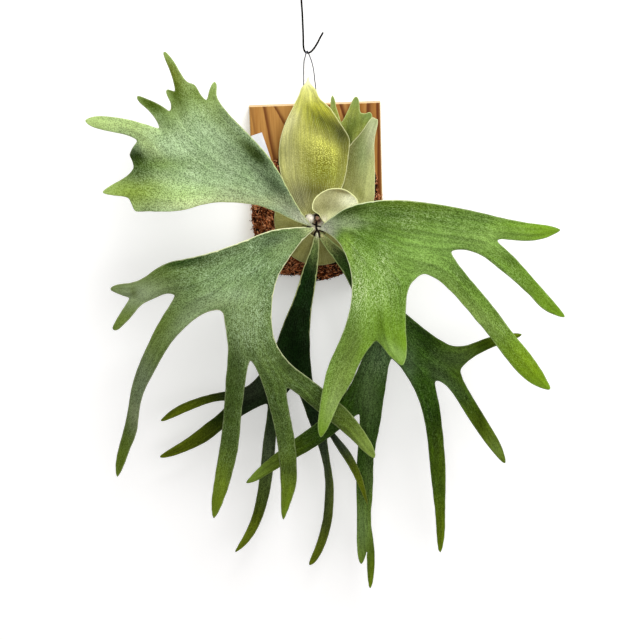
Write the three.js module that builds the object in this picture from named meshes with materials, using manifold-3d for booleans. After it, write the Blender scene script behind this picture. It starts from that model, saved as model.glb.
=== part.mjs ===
// A staghorn fern on its board, hung from a wire hook. Sizes are millimetres.
// The origin is the centre of the board's back face: +X to the right, the front towards -Y, +Z up.

import * as THREE from 'three';
import { mergeVertices } from 'three/addons/utils/BufferGeometryUtils.js';
import Module from 'manifold-3d';

// The board
const BOARD_WIDTH = 184;
const BOARD_HEIGHT = 228;
const BOARD_THICKNESS = 19;
const BOARD_EASED_EDGE = 1.2;

// Clearance between pieces that touch on the real plant
const TOUCH_GAP = 0.3;

// Leaves and pad are drawn as seen from this point, on the plane of the board's front face, and each
// drawn point is then carried along its line of sight to its real distance out from the board's back.
const VIEW_X = -2.5;
const VIEW_DISTANCE = 2000;
const VIEW_Z = 302;

// The coir pad: a low mound, wider than it is deep
const PAD_CENTRE = [-2, -45];
const PAD_REACH = [93, 92];
const PAD_SQUARENESS = 2.4;
const PAD_RIM_OUT = 25;
const PAD_CROWN_RISE = 36;
const PAD_RIM_SOFTNESS = 1.35;
const PAD_RELIEF = 2.6;
const PAD_EDGE = [
  [-91, -66], [-85, -92], [-72, -112], [-57, -126], [-27, -128], [-4, -137], [10, -135], [33, -128],
  [58, -117], [76, -98], [85, -72], [88, -40], [85, -10], [81, 20], [70, 38], [40, 44], [5, 47],
  [-30, 45], [-54, 38], [-72, 22], [-86, 0], [-93, -30],
];

// The crown that every leaf grows from
const CROWN = [-2, -60];
const RHIZOME_LUMPS = [
  { at: [-1, -61.5], out: 52, radii: [12, 10.5, 12.5] },
  { at: [-9, -51], out: 55, radii: [7, 6.5, 7] },
  { at: [-1.6, -46.5], out: 62, radii: [4.8, 11, 4.8] },
];
const BUD_SCALE_HEIGHT = 0.5;
const RHIZOME_CLEAR = TOUCH_GAP + BUD_SCALE_HEIGHT;
const LUMP_COLUMNS = 16;
const LUMP_ROWS = 12;
const WOOLLY_BUD = { at: [-11.8, -46.6], out: 65, radii: [5.2, 6, 5.3] };

// Leaf blades
const BLADE_EDGE_THICKNESS = 1;
const BLADE_MID_THICKNESS = 1.9;
const STALK_THICKNESS = 3.2;
const STALK_LENGTH = 20;
const SHIELD_THICKNESS = 1.2;
const SHIELD_LAYER = 2.5;
const SHIELD_FIRST_OUT = 1.6;
const EDGE_STEP_LONGEST = 14;
const EDGE_STEP_SHORTEST = 2.6;
const EDGE_TURN = THREE.MathUtils.degToRad(24);
const CURVE_STEPS = 10;
const BLADE_RIM_WIDTH = 8;
const ARCH_WIDTH = 11;
const ARCH_STARTS = 60;
const BLADE_MESH_STEP = 18;
const SHIELD_MESH_STEP = 15;
const PAD_MESH_STEP = 12;
// The inner points of a leaf stand in staggered rows, each row a little off square, so that none of
// them falls on a line between two points of its outline
const ROW_STARTS = [0.21, 0.71];
const ROW_SLANT = 0.0017;
const EDGE_CLEARANCE = 0.34;

// Hanging wire, screw eyes, hook, nails and tag
const HANGER_OUT = 9.5;
const WIRE_DIAMETER = 1.2;
const WIRE_SIDES = 6;
const WIRE_STEPS = 130;
const WIRE_WRAPS = 2;
const WIRE_WRAP_PITCH = 2.2;
const WIRE_WRAP_STEPS = 8;
const WIRE_HANGS_CLEAR = 1.1;
const HOOK_DIAMETER = 2.2;
const HOOK_SIDES = 8;
const HOOK_STEPS = 76;
// The hook's lowest point, where the loop's top crosses it
const HOOK_SEAT = [-8, 184.7];
const HOOK_EYE_RADIUS = 6;
const HOOK_EYE_ARC = { start: -60, step: 31, points: 10 };
const EYE_RING_RADIUS = 3.6;
const EYE_WIRE = 1.8;
const EYE_SHANK_LENGTH = 12;
const EYE_PLACES = [[-15, 'left'], [2.5, 'right']];
const EYE_CENTRE_Z = BOARD_HEIGHT / 2 + TOUCH_GAP + EYE_RING_RADIUS + EYE_WIRE / 2;
const NAIL_LENGTH = 30;
const NAIL_DIAMETER = 3;
const NAIL_HEAD_DIAMETER = 8;
const NAIL_HEAD_THICKNESS = 1.2;
const NAIL_TIP_OUT = 5;
const NAIL_PLACES = [[-38, -16], [34, -16], [-38, -88], [34, -88]];
const TAG = {
  width: 16, foot: 4, length: 96, thickness: 0.6, point: 18, top: [-83, 75], lean: 16.5, out: 22,
};

const COLOURS = {
  pine: 0xcd9664, coir: 0x784123, rhizome: 0x4b2a22, wool: 0xece6cf, steel: 0x9a9a98, black: 0x1b1b1d,
  tag: 0xf2f2ee, speckled: 0x7da05f, lower: 0x5f824b, bright: 0x6e963c, shade: 0x3c4b1e, deep: 0x375a1e,
  tall: 0xb9be5a, olive: 0x96965a, back: 0x6e823c, pale: 0x96a569, cream: 0xcdcd96,
};

const wasm = await Module();
wasm.setup();

// A drawn point [x, z] at its real distance out from the board's back
function seen(x, z, out) {
  const eye = new THREE.Vector3(VIEW_X, -BOARD_THICKNESS - VIEW_DISTANCE, VIEW_Z);
  const share = (VIEW_DISTANCE + BOARD_THICKNESS - out) / VIEW_DISTANCE;
  return new THREE.Vector3(x, -BOARD_THICKNESS, z).sub(eye).multiplyScalar(share).add(eye);
}

// Smooth value along a list of [distance, value] knots
function ramp(knots, distance) {
  const last = knots.length - 1;
  if (distance <= knots[0][0]) return knots[0][1];
  if (distance >= knots[last][0]) return knots[last][1];
  const i = knots.findIndex(([d]) => d > distance) - 1;
  const [d0, v0] = knots[i];
  const [d1, v1] = knots[i + 1];
  const slope = (a, b) => (knots[b][1] - knots[a][1]) / (knots[b][0] - knots[a][0]);
  const s0 = slope(Math.max(0, i - 1), i + 1) * (d1 - d0);
  const s1 = slope(i, Math.min(last, i + 2)) * (d1 - d0);
  const t = (distance - d0) / (d1 - d0);
  const keep = 2 * t ** 3 - 3 * t ** 2 + 1;
  return keep * v0 + (t ** 3 - 2 * t ** 2 + t) * s0 + (1 - keep) * v1 + (t ** 3 - t ** 2) * s1;
}

// The pad's smooth front, as a distance out from the board's back
function moundOut(x, z) {
  const across = Math.abs((x - PAD_CENTRE[0]) / PAD_REACH[0]) ** PAD_SQUARENESS;
  const up = Math.abs((z - PAD_CENTRE[1]) / PAD_REACH[1]) ** PAD_SQUARENESS;
  const reach = (across + up) ** (2 / PAD_SQUARENESS);
  return PAD_RIM_OUT + PAD_CROWN_RISE * Math.max(0, 1 - reach) ** PAD_RIM_SOFTNESS;
}

// A closed smooth curve through the drawn points, in steps that shorten where it turns
function traceEdge(points) {
  const through = points.map(([x, z]) => new THREE.Vector3(x, z, 0));
  const curve = new THREE.CatmullRomCurve3(through, true, 'centripetal');
  const fine = curve.getPoints(points.length * CURVE_STEPS);
  fine.pop();
  const edge = [];
  let run = 0;
  let turn = 0;
  fine.forEach((point, i) => {
    const before = fine[(i + fine.length - 1) % fine.length];
    const after = fine[(i + 1) % fine.length];
    const into = point.clone().sub(before);
    run += into.length();
    turn += into.angleTo(after.clone().sub(point));
    if (i === 0 || run > EDGE_STEP_LONGEST || (turn > EDGE_TURN && run > EDGE_STEP_SHORTEST)) {
      edge.push(new THREE.Vector2(point.x, point.y));
      run = 0;
      turn = 0;
    }
  });
  return edge;
}

function distanceToEdge(point, edge) {
  const closest = new THREE.Vector3();
  const line = new THREE.Line3();
  const at = new THREE.Vector3(point.x, point.y, 0);
  return Math.min(...edge.map((from, i) => {
    const to = edge[(i + 1) % edge.length];
    line.set(new THREE.Vector3(from.x, from.y, 0), new THREE.Vector3(to.x, to.y, 0));
    return line.closestPointToPoint(at, true, closest).distanceTo(at);
  }));
}

function insideEdge(point, edge) {
  return edge.reduce((inside, a, i) => {
    const b = edge[(i + 1) % edge.length];
    const spans = (a.y > point.y) !== (b.y > point.y);
    const crosses = spans && point.x < (b.x - a.x) * (point.y - a.y) / (b.y - a.y) + a.x;
    return crosses ? !inside : inside;
  }, false);
}

// Points in staggered rows over the inside of an edge, clear of the edge itself
function fillPoints(edge, step) {
  const box = new THREE.Box2().setFromPoints(edge);
  const rowStep = step * Math.sqrt(3) / 2;
  const points = [];
  for (let row = 0, z = box.min.y + rowStep * ROW_STARTS[0]; z < box.max.y; z += rowStep, row += 1) {
    for (let x = box.min.x + step * ROW_STARTS[row % 2]; x < box.max.x; x += step) {
      const point = new THREE.Vector2(x + (z - box.min.y) * ROW_SLANT, z + (x - box.min.x) * ROW_SLANT);
      const clear = insideEdge(point, edge) && distanceToEdge(point, edge) > step * EDGE_CLEARANCE;
      if (clear) points.push(point);
    }
  }
  return points;
}

const side = (a, b, c) => (b.x - a.x) * (c.y - a.y) - (b.y - a.y) * (c.x - a.x);

// Whether d lies inside the circle through the corners of a triangle that turns left
function inCircle(a, b, c, d) {
  const [ax, ay, bx, by, cx, cy] = [a.x - d.x, a.y - d.y, b.x - d.x, b.y - d.y, c.x - d.x, c.y - d.y];
  const [al, bl, cl] = [ax * ax + ay * ay, bx * bx + by * by, cx * cx + cy * cy];
  return ax * (by * cl - bl * cy) - ay * (bx * cl - bl * cx) + al * (bx * cy - by * cx) > 1e-7;
}

// Turns the shared edges of a triangulation until its triangles are as even as they can be
function evenOut(points, triangles) {
  for (let flipped = true; flipped;) {
    flipped = false;
    const owners = new Map();
    const touched = new Set();
    triangles.forEach((corners, t) => corners.forEach((corner, k) => {
      owners.set(`${corner}_${corners[(k + 1) % 3]}`, [t, corners[(k + 2) % 3]]);
    }));
    for (const [key, [t, c]] of owners) {
      const [a, b] = key.split('_').map(Number);
      const other = owners.get(`${b}_${a}`);
      if (!other || touched.has(t) || touched.has(other[0])) continue;
      const [pa, pb, pc, pd] = [a, b, c, other[1]].map((i) => points[i]);
      if (!inCircle(pa, pb, pc, pd) || side(pc, pa, pd) <= 0 || side(pd, pb, pc) <= 0) continue;
      triangles[t] = [a, other[1], c];
      triangles[other[0]] = [other[1], b, c];
      touched.add(t).add(other[0]);
      flipped = true;
    }
  }
  return triangles;
}

// Triangles over a drawn outline, with the fill points worked in
function triangulate(edge, fill) {
  const points = [...edge, ...fill];
  const triangles = THREE.ShapeUtils.triangulateShape(edge, [])
    .map(([a, b, c]) => (side(points[a], points[b], points[c]) > 0 ? [a, b, c] : [a, c, b]));
  fill.forEach((point, i) => {
    const index = edge.length + i;
    const home = triangles.findIndex(([a, b, c]) => side(points[a], points[b], point) >= 0
      && side(points[b], points[c], point) >= 0 && side(points[c], points[a], point) >= 0);
    const [a, b, c] = triangles[home];
    triangles.splice(home, 1, [a, b, index], [b, c, index], [c, a, index]);
  });
  return { points, triangles: evenOut(points, triangles) };
}

function solidGeometry(vertices, faces) {
  const geometry = new THREE.BufferGeometry();
  const positions = vertices.flatMap((vertex) => vertex.toArray());
  geometry.setAttribute('position', new THREE.Float32BufferAttribute(positions, 3));
  geometry.setIndex(faces.flat());
  return geometry;
}

// Closes a front sheet and a back sheet of the same triangles along their shared edge
function closeSheets(front, back, triangles, edgeCount) {
  const shift = front.length;
  const faces = triangles.flatMap(([a, b, c]) => [[a, b, c], [a + shift, c + shift, b + shift]]);
  for (let i = 0; i < edgeCount; i += 1) {
    const next = (i + 1) % edgeCount;
    faces.push([next, i, i + shift], [next, i + shift, next + shift]);
  }
  return solidGeometry([...front, ...back], faces);
}

// The outline turning left, whichever way round it was drawn
function leftTurning(edge) {
  return THREE.ShapeUtils.isClockWise(edge) ? edge.reverse() : edge;
}

// One leaf: its drawn outline, how far out each point of it lies, and how thick it is there
function leaf({ outline, meshStep, outAt, thicknessAt }) {
  const edge = leftTurning(traceEdge(outline));
  const { points, triangles } = triangulate(edge, fillPoints(edge, meshStep));
  const inset = points.map((p, i) => (i < edge.length ? 0 : distanceToEdge(p, edge)));
  const middle = points.map((p, i) => seen(p.x, p.y, outAt(p.x, p.y, inset[i])));
  const normals = middle.map(() => new THREE.Vector3());
  triangles.forEach(([a, b, c]) => {
    const normal = middle[b].clone().sub(middle[a]).cross(middle[c].clone().sub(middle[a]));
    [a, b, c].forEach((i) => normals[i].add(normal));
  });
  const offset = (sign) => middle.map((p, i) => {
    const half = thicknessAt(points[i].x, points[i].y, inset[i]) / 2;
    return p.clone().addScaledVector(normals[i].normalize(), sign * half);
  });
  return closeSheets(offset(1), offset(-1), triangles, edge.length);
}

const fromCrown = (x, z) => Math.hypot(x - CROWN[0], z - CROWN[1]);

// A forked fertile frond. rise gives its distance out along its length from the crown, arch is how much
// its middle stands proud of its edges, and each bend brings one stretch of it forward or back.
function fertileFrond({ outline, rise, arch, bends }) {
  const outAt = (x, z, inset) => {
    const length = fromCrown(x, z);
    const proud = arch * (1 - Math.exp(-((inset / ARCH_WIDTH) ** 2))) * Math.min(1, length / ARCH_STARTS);
    const bent = bends.reduce((sum, { at, reach, by }) => {
      const away = Math.hypot(x - at[0], z - at[1]) / reach;
      return sum + by * Math.exp(-(away ** 2));
    }, 0);
    return ramp(rise, length) + proud + bent;
  };
  const thicknessAt = (x, z, inset) => {
    const stalk = Math.exp(-((fromCrown(x, z) / STALK_LENGTH) ** 2));
    const full = Math.min(1, inset / BLADE_RIM_WIDTH);
    const blade = THREE.MathUtils.lerp(BLADE_EDGE_THICKNESS, BLADE_MID_THICKNESS, full);
    return THREE.MathUtils.lerp(blade, STALK_THICKNESS, stalk);
  };
  return leaf({ outline, meshStep: BLADE_MESH_STEP, outAt, thicknessAt });
}

// A sterile frond that clasps the pad, in the given layer counted from the pad
function shieldFrond({ outline, layer, form = () => 0 }) {
  const lift = SHIELD_FIRST_OUT + SHIELD_LAYER * layer;
  return leaf({
    outline,
    meshStep: SHIELD_MESH_STEP,
    outAt: (x, z, inset) => moundOut(x, z) + lift + form(x, z, inset),
    thicknessAt: () => SHIELD_THICKNESS,
  });
}

const bump = (x, z, at, reach) => Math.exp(-(((x - at[0]) / reach[0]) ** 2 + ((z - at[1]) / reach[1]) ** 2));

// Solids for joining and cutting
function toSolid(geometry) {
  const bare = geometry.clone();
  bare.deleteAttribute('normal');
  bare.deleteAttribute('uv');
  const merged = mergeVertices(bare, 1e-4);
  return new wasm.Manifold(new wasm.Mesh({
    numProp: 3,
    vertProperties: new Float32Array(merged.attributes.position.array),
    triVerts: new Uint32Array(merged.index.array),
  }));
}

function fromSolid(solid) {
  const { vertProperties, triVerts } = solid.getMesh();
  const geometry = new THREE.BufferGeometry();
  geometry.setAttribute('position', new THREE.BufferAttribute(new Float32Array(vertProperties), 3));
  geometry.setIndex(new THREE.BufferAttribute(new Uint32Array(triVerts), 1));
  return geometry;
}

// A round lump, placed as the leaves are. With a scale height, rows of small scales stand up on it.
function lump({ at, out, radii }, grow = 0, scaleHeight = 0) {
  const centre = seen(at[0], at[1], out);
  const ball = new THREE.SphereGeometry(1, LUMP_COLUMNS, LUMP_ROWS);
  const points = ball.attributes.position;
  const corner = new THREE.Vector3();
  for (let i = 0; i < points.count; i += 1) {
    corner.fromBufferAttribute(points, i);
    const row = Math.round(Math.acos(THREE.MathUtils.clamp(corner.y, -1, 1)) * LUMP_ROWS / Math.PI);
    const turn = Math.atan2(corner.z, corner.x) / (2 * Math.PI);
    const column = Math.round((turn + 1) * LUMP_COLUMNS);
    const raised = row > 0 && row < LUMP_ROWS && (row + column) % 2 === 0 ? scaleHeight : 0;
    const size = new THREE.Vector3(...radii).addScalar(grow + raised);
    corner.multiply(size).add(centre);
    points.setXYZ(i, corner.x, corner.y, corner.z);
  }
  return ball;
}

function rhizomeSolid(grow, scaleHeight = 0) {
  const lumps = RHIZOME_LUMPS.map((each) => toSolid(lump(each, grow, scaleHeight)));
  return lumps.reduce((all, each) => all.add(each));
}

// A round bar that stands upright
function post(radius, [x, y], bottom, top) {
  return toSolid(new THREE.CylinderGeometry(radius, radius, top - bottom, 8)
    .rotateX(Math.PI / 2)
    .translate(x, y, (bottom + top) / 2));
}

// A round bar that stands out from the board, from one distance out to another
function bar(radius, [x, z], from, to, sides) {
  return toSolid(new THREE.CylinderGeometry(radius, radius, to - from, sides)
    .translate(x, -(from + to) / 2, z));
}

// A nail through the pad into the board. As a cutting tool it is larger all round, and its head runs on.
function nail(at, grow = 0, runOn = 0) {
  const headOut = NAIL_TIP_OUT + NAIL_LENGTH - NAIL_HEAD_THICKNESS;
  const shank = bar(NAIL_DIAMETER / 2 + grow, at, NAIL_TIP_OUT - grow, headOut + NAIL_HEAD_THICKNESS / 2, 12);
  const headEnd = headOut + NAIL_HEAD_THICKNESS + grow + runOn;
  return shank.add(bar(NAIL_HEAD_DIAMETER / 2 + grow, at, headOut - grow, headEnd, 16));
}

function screwEye(x) {
  const ring = new THREE.TorusGeometry(EYE_RING_RADIUS, EYE_WIRE / 2, 8, 20)
    .rotateX(Math.PI / 2)
    .translate(x, -HANGER_OUT, EYE_CENTRE_Z);
  const bottom = BOARD_HEIGHT / 2 - EYE_SHANK_LENGTH;
  return toSolid(ring).add(post(EYE_WIRE / 2, [x, -HANGER_OUT], bottom, EYE_CENTRE_Z - EYE_RING_RADIUS));
}

function boardGeometry() {
  const eased = BOARD_EASED_EDGE;
  const w = BOARD_WIDTH / 2 - eased;
  const h = BOARD_HEIGHT / 2 - eased;
  const corners = [[-w, -h], [w, -h], [w, h], [-w, h]];
  const face = new THREE.Shape(corners.map(([x, y]) => new THREE.Vector2(x, y)));
  const slab = new THREE.ExtrudeGeometry(face, {
    depth: BOARD_THICKNESS - 2 * eased,
    bevelEnabled: true,
    bevelSize: eased,
    bevelThickness: eased,
    bevelSegments: 1,
  }).translate(0, 0, eased).rotateX(Math.PI / 2);
  const nailHoles = NAIL_PLACES.map((at) => nail(at, TOUCH_GAP));
  const eyeHoles = EYE_PLACES.map(([x]) => post(
    EYE_WIRE / 2 + TOUCH_GAP, [x, -HANGER_OUT],
    BOARD_HEIGHT / 2 - EYE_SHANK_LENGTH - TOUCH_GAP, BOARD_HEIGHT / 2 + TOUCH_GAP,
  ));
  return fromSolid([...nailHoles, ...eyeHoles].reduce((left, hole) => left.subtract(hole), toSolid(slab)));
}

// A label with a pointed foot, leaning on the board, its foot pushed into the pad
function tagGeometry(grow = 0) {
  const { width, foot, length, thickness, point, top, lean, out } = TAG;
  const half = width / 2 + grow;
  const toe = foot / 2 + grow;
  const low = -length - grow;
  const face = new THREE.Shape([
    [-half, grow], [-half, low + point], [-toe, low], [toe, low], [half, low + point], [half, grow],
  ].map(([x, y]) => new THREE.Vector2(x, y)));
  const place = seen(top[0], top[1], out);
  return new THREE.ExtrudeGeometry(face, { depth: thickness + 2 * grow, bevelEnabled: false })
    .translate(0, 0, -thickness / 2 - grow)
    .rotateZ(THREE.MathUtils.degToRad(lean))
    .rotateX(Math.PI / 2)
    .translate(place.x, place.y, place.z);
}

// The pad's uneven front lies a little under its smooth one
function padRelief(x, z) {
  const ripple = Math.sin(x * 0.31 + z * 0.17) + Math.sin(z * 0.43);
  return PAD_RELIEF * (0.5 + ripple / 4);
}

function padGeometry() {
  const edge = leftTurning(traceEdge(PAD_EDGE));
  const { points, triangles } = triangulate(edge, fillPoints(edge, PAD_MESH_STEP));
  const front = points.map((p) => seen(p.x, p.y, moundOut(p.x, p.y) - padRelief(p.x, p.y)));
  const back = points.map((p) => new THREE.Vector3(p.x, -BOARD_THICKNESS - TOUCH_GAP, p.y));
  const cuts = [rhizomeSolid(RHIZOME_CLEAR), toSolid(tagGeometry(TOUCH_GAP))];
  NAIL_PLACES.forEach((at) => cuts.push(nail(at, TOUCH_GAP, PAD_CROWN_RISE)));
  const pad = toSolid(closeSheets(front, back, triangles, edge.length));
  return fromSolid(cuts.reduce((left, cut) => left.subtract(cut), pad));
}

// A wire of round section along a smooth path
function wireAlong(points, diameter, sides, steps) {
  const corners = Array.from({ length: sides }, (_, i) => i * 2 * Math.PI / sides);
  const section = new THREE.Shape(corners.map((angle) => (
    new THREE.Vector2(Math.cos(angle), Math.sin(angle)).multiplyScalar(diameter / 2)
  )));
  const extrudePath = new THREE.CatmullRomCurve3(points, false, 'centripetal');
  return new THREE.ExtrudeGeometry(section, { steps, extrudePath });
}

// One end of the hanging wire, from the top of its wraps down through the screw eye and up its leg.
// The wraps turn round the leg, and the wire passes through the eye from its back to its front.
function wireEnd(x, handed) {
  const pass = EYE_WIRE / 2 + WIRE_DIAMETER / 2 + TOUCH_GAP;
  const ringTop = EYE_CENTRE_Z + EYE_RING_RADIUS;
  const through = ringTop - pass;
  const wrapRadius = WIRE_DIAMETER + TOUCH_GAP;
  const wrapBase = ringTop + EYE_WIRE + WIRE_WRAP_PITCH;
  const wrapTop = wrapBase + WIRE_WRAPS * WIRE_WRAP_PITCH;
  const at = (back, z) => new THREE.Vector3(x, -HANGER_OUT + back, z);
  const wraps = Array.from({ length: WIRE_WRAPS * WIRE_WRAP_STEPS + 1 }, (_, i) => {
    const turn = WIRE_WRAPS - i / WIRE_WRAP_STEPS;
    const angle = 2 * Math.PI * turn;
    const wrap = at(wrapRadius * Math.cos(angle), wrapBase + turn * WIRE_WRAP_PITCH);
    wrap.x += handed * wrapRadius * Math.sin(angle);
    return wrap;
  });
  return [
    ...wraps,
    at(pass, through + WIRE_DIAMETER),
    at(0, through - TOUCH_GAP),
    at(-pass, through + WIRE_DIAMETER),
    at(-pass / 2, wrapBase - WIRE_DIAMETER),
    at(0, wrapBase + WIRE_DIAMETER),
    at(0, wrapTop + WIRE_WRAP_PITCH),
  ];
}

const onHanger = (x, z, back = 0) => seen(x, z, HANGER_OUT).add(new THREE.Vector3(0, back, 0));

// The loop crosses over the hook from front to back, one leg down each side of it
function wireLoop() {
  const crossing = HOOK_DIAMETER / 2 + WIRE_DIAMETER / 2 + TOUCH_GAP;
  const [seatX, seatZ] = HOOK_SEAT;
  const points = [
    ...wireEnd(EYE_PLACES[0][0], -1),
    onHanger(-14.2, 144), onHanger(-13.6, 163), onHanger(-12.6, 174, -crossing / 2),
    onHanger(-10.6, 181, -crossing), onHanger(seatX - 1.4, seatZ + 0.4, -crossing),
    onHanger(seatX, seatZ + crossing + WIRE_HANGS_CLEAR),
    onHanger(seatX + 1.4, seatZ + 0.4, crossing), onHanger(-4.6, 180, crossing),
    onHanger(-2.2, 173, crossing / 2), onHanger(0, 162), onHanger(1.4, 146),
    ...wireEnd(EYE_PLACES[1][0], 1).reverse(),
  ];
  return wireAlong(points, WIRE_DIAMETER, WIRE_SIDES, WIRE_STEPS);
}

// The hook: an open bend below, a straight shank, and an eye above whose wire ends beside the shank
function hangingHook() {
  const bend = [
    [15, 212], [11, 205.6], [6.7, 198], [1.1, 190], [-3.9, 185.6], HOOK_SEAT, [-11, 186.6], [-12.6, 192],
    [-12.6, 208], [-12.8, 236], [-12.8, 262],
  ].map(([x, z]) => onHanger(x, z));
  const centre = bend[bend.length - 1].clone();
  centre.z += HOOK_EYE_RADIUS + 2 * HOOK_DIAMETER;
  const eye = Array.from({ length: HOOK_EYE_ARC.points }, (_, i) => {
    const angle = THREE.MathUtils.degToRad(HOOK_EYE_ARC.start + i * HOOK_EYE_ARC.step);
    const spoke = new THREE.Vector3(Math.cos(angle), 0, Math.sin(angle));
    return centre.clone().addScaledVector(spoke, HOOK_EYE_RADIUS);
  });
  return wireAlong([...bend, ...eye], HOOK_DIAMETER, HOOK_SIDES, HOOK_STEPS);
}

// Leaf outlines, each drawn from its stalk round and back
const UPPER_LEFT_OUTLINE = [
  [-9, -58], [-28, -52.5], [-61, -35], [-80, -27], [-100, -22.5], [-140, -19.7], [-167, -21.7],
  [-193, -29], [-213, -30.3], [-247, -28.3], [-259, -28], [-263, -20], [-268.5, -8.3], [-290, -4.7],
  // first finger
  [-304.7, -0.3], [-291.7, 9.2], [-270, 20], [-258.5, 31.7], [-258, 38], [-263.3, 51.7],
  [-256.7, 62.5], [-250.3, 71.3], [-258.5, 78.3], [-283, 85], [-314, 93.3],
  // second finger
  [-322, 101.7], [-308, 107.5], [-290, 106.2], [-265, 102], [-233, 91.7], [-217.5, 86.7],
  [-221, 98.3], [-230, 112.5], [-245, 125.8],
  // third finger
  [-246.5, 133.5], [-227.5, 125.6], [-215, 120], [-202.5, 111], [-199.4, 122], [-205.6, 135.6],
  // small finger, then the tall one
  [-204.6, 141.4], [-193.8, 137.3], [-193.7, 148.7], [-200, 170.6], [-207.2, 190.8], [-205.6, 193],
  [-197.5, 186.3], [-185, 162.5], [-176.5, 149.2], [-165.5, 145], [-158.7, 130], [-149.7, 123.7],
  // last finger and the upper edge
  [-146.9, 136.3], [-138.5, 149.6], [-135.3, 145], [-137.2, 128.7], [-128.7, 114], [-110, 92],
  [-92.5, 72.5], [-74, 52], [-58.8, 29.4], [-41.4, -5.3], [-25, -37], [-12.3, -55.4],
];

const LOWER_LEFT_OUTLINE = [
  [-8, -61.5], [-32, -59.8], [-69, -63.5], [-98, -73.7], [-146, -89.6], [-188.5, -99.6],
  [-223, -106.3], [-253.8, -126.5], [-271, -133.3], [-294, -134.6],
  // first two short lobes
  [-302, -140.5], [-292.3, -147.7], [-275.3, -154.4], [-281, -163], [-296.2, -185.2], [-303.5, -200],
  [-298.5, -201.5], [-273, -179.4], [-259.6, -164], [-238.5, -155], [-221, -149], [-210.6, -152.8],
  // first long lobe
  [-219.2, -168.8], [-238.5, -197.7], [-267.3, -253.5], [-280, -286], [-292.4, -339.6],
  [-306.3, -382.2], [-313.5, -414], [-312, -427], [-300.7, -408], [-290.6, -382.2], [-279.4, -360],
  [-273.3, -325], [-267, -301], [-240.4, -253.5], [-217.3, -218.8], [-190.4, -193], [-165.4, -177.5],
  [-148, -175.2], [-141, -181],
  // second long lobe
  [-140.6, -193], [-137, -230.4], [-142.4, -284], [-151.7, -360], [-163.7, -421], [-173.9, -478.5],
  [-172.6, -498.5], [-164.6, -487.8], [-150.7, -456.3], [-138.7, -419.3], [-129.4, -380.4],
  [-124, -337.8], [-116.5, -293.3], [-109, -257.5], [-105, -253.5],
  // third long lobe
  [-97, -268.8], [-86.5, -299.6], [-78.3, -336], [-72, -374.8], [-68.7, -417.4], [-68.5, -460],
  [-69.6, -493.3], [-67.4, -504], [-56.3, -476.7], [-47, -448.9], [-44.8, -417.4], [-46.7, -378.5],
  [-50.7, -347], [-56.3, -306.3], [-54.5, -295.5],
  // the lobe that crosses to the right
  [-40, -305], [-22, -323], [0, -343], [22.5, -364.8], [44, -385.5], [63.6, -406.8], [71.6, -411],
  [72.5, -401], [61.8, -378.2], [38.6, -341.6], [11, -313.5], [-18.6, -287], [-40.4, -270],
  [-59.6, -247.7], [-71, -220.8], [-73, -193.8], [-70.2, -159.2], [-60, -127], [-38.4, -95],
  [-18, -71.6], [-8.8, -64.5],
];

const RIGHT_OUTLINE = [
  [3, -60], [20.5, -46], [44, -32.5], [79, -25.7], [115, -25], [157.5, -31.3], [215.4, -43.5],
  [263.5, -56.5], [302, -65.2], [334.6, -70.4],
  // the lobe that points right
  [346.2, -75.8], [334.6, -82.5], [311.5, -89.6], [282.7, -89.6], [259.6, -86.3], [254.8, -89.2],
  // second lobe
  [265.4, -99.8], [282.7, -117], [303.8, -143], [330.8, -174.8], [350, -198.8], [353.5, -204.8],
  [340.4, -201.7], [319.2, -190.2], [303.8, -172], [282.7, -150.8], [255.8, -127.7], [232.7, -108.5],
  [207.7, -99.2], [190.4, -99.8], [187.9, -103.7],
  // third lobe
  [200, -123.8], [225, -155.6], [252, -190.2], [275, -223.8], [302, -257.5], [323, -291.2],
  [332, -312.3], [319.2, -311.3], [292.3, -293], [267.3, -263.3], [244.2, -229.6], [217.3, -196],
  [194.2, -167], [171.2, -143], [149.5, -132], [135, -140.5], [125.4, -153.8],
  // short lobe that hangs
  [122.2, -180], [120.8, -206], [122.7, -245], [120.5, -260], [115.5, -269.3], [105, -262],
  [92, -246], [78, -229.8],
  // long lobe that hangs
  [67, -240.7], [51, -267.5], [36.8, -297.5], [20.7, -322.9], [8.2, -351.4], [-7, -375.7],
  [-11.2, -362], [-7, -331.8], [-0.7, -296], [9, -262], [27.9, -222.5], [41.5, -181], [45.5, -150],
  [43.8, -123], [36, -97], [27.5, -81.5], [10.8, -67.8], [3.5, -64.8],
];

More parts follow.
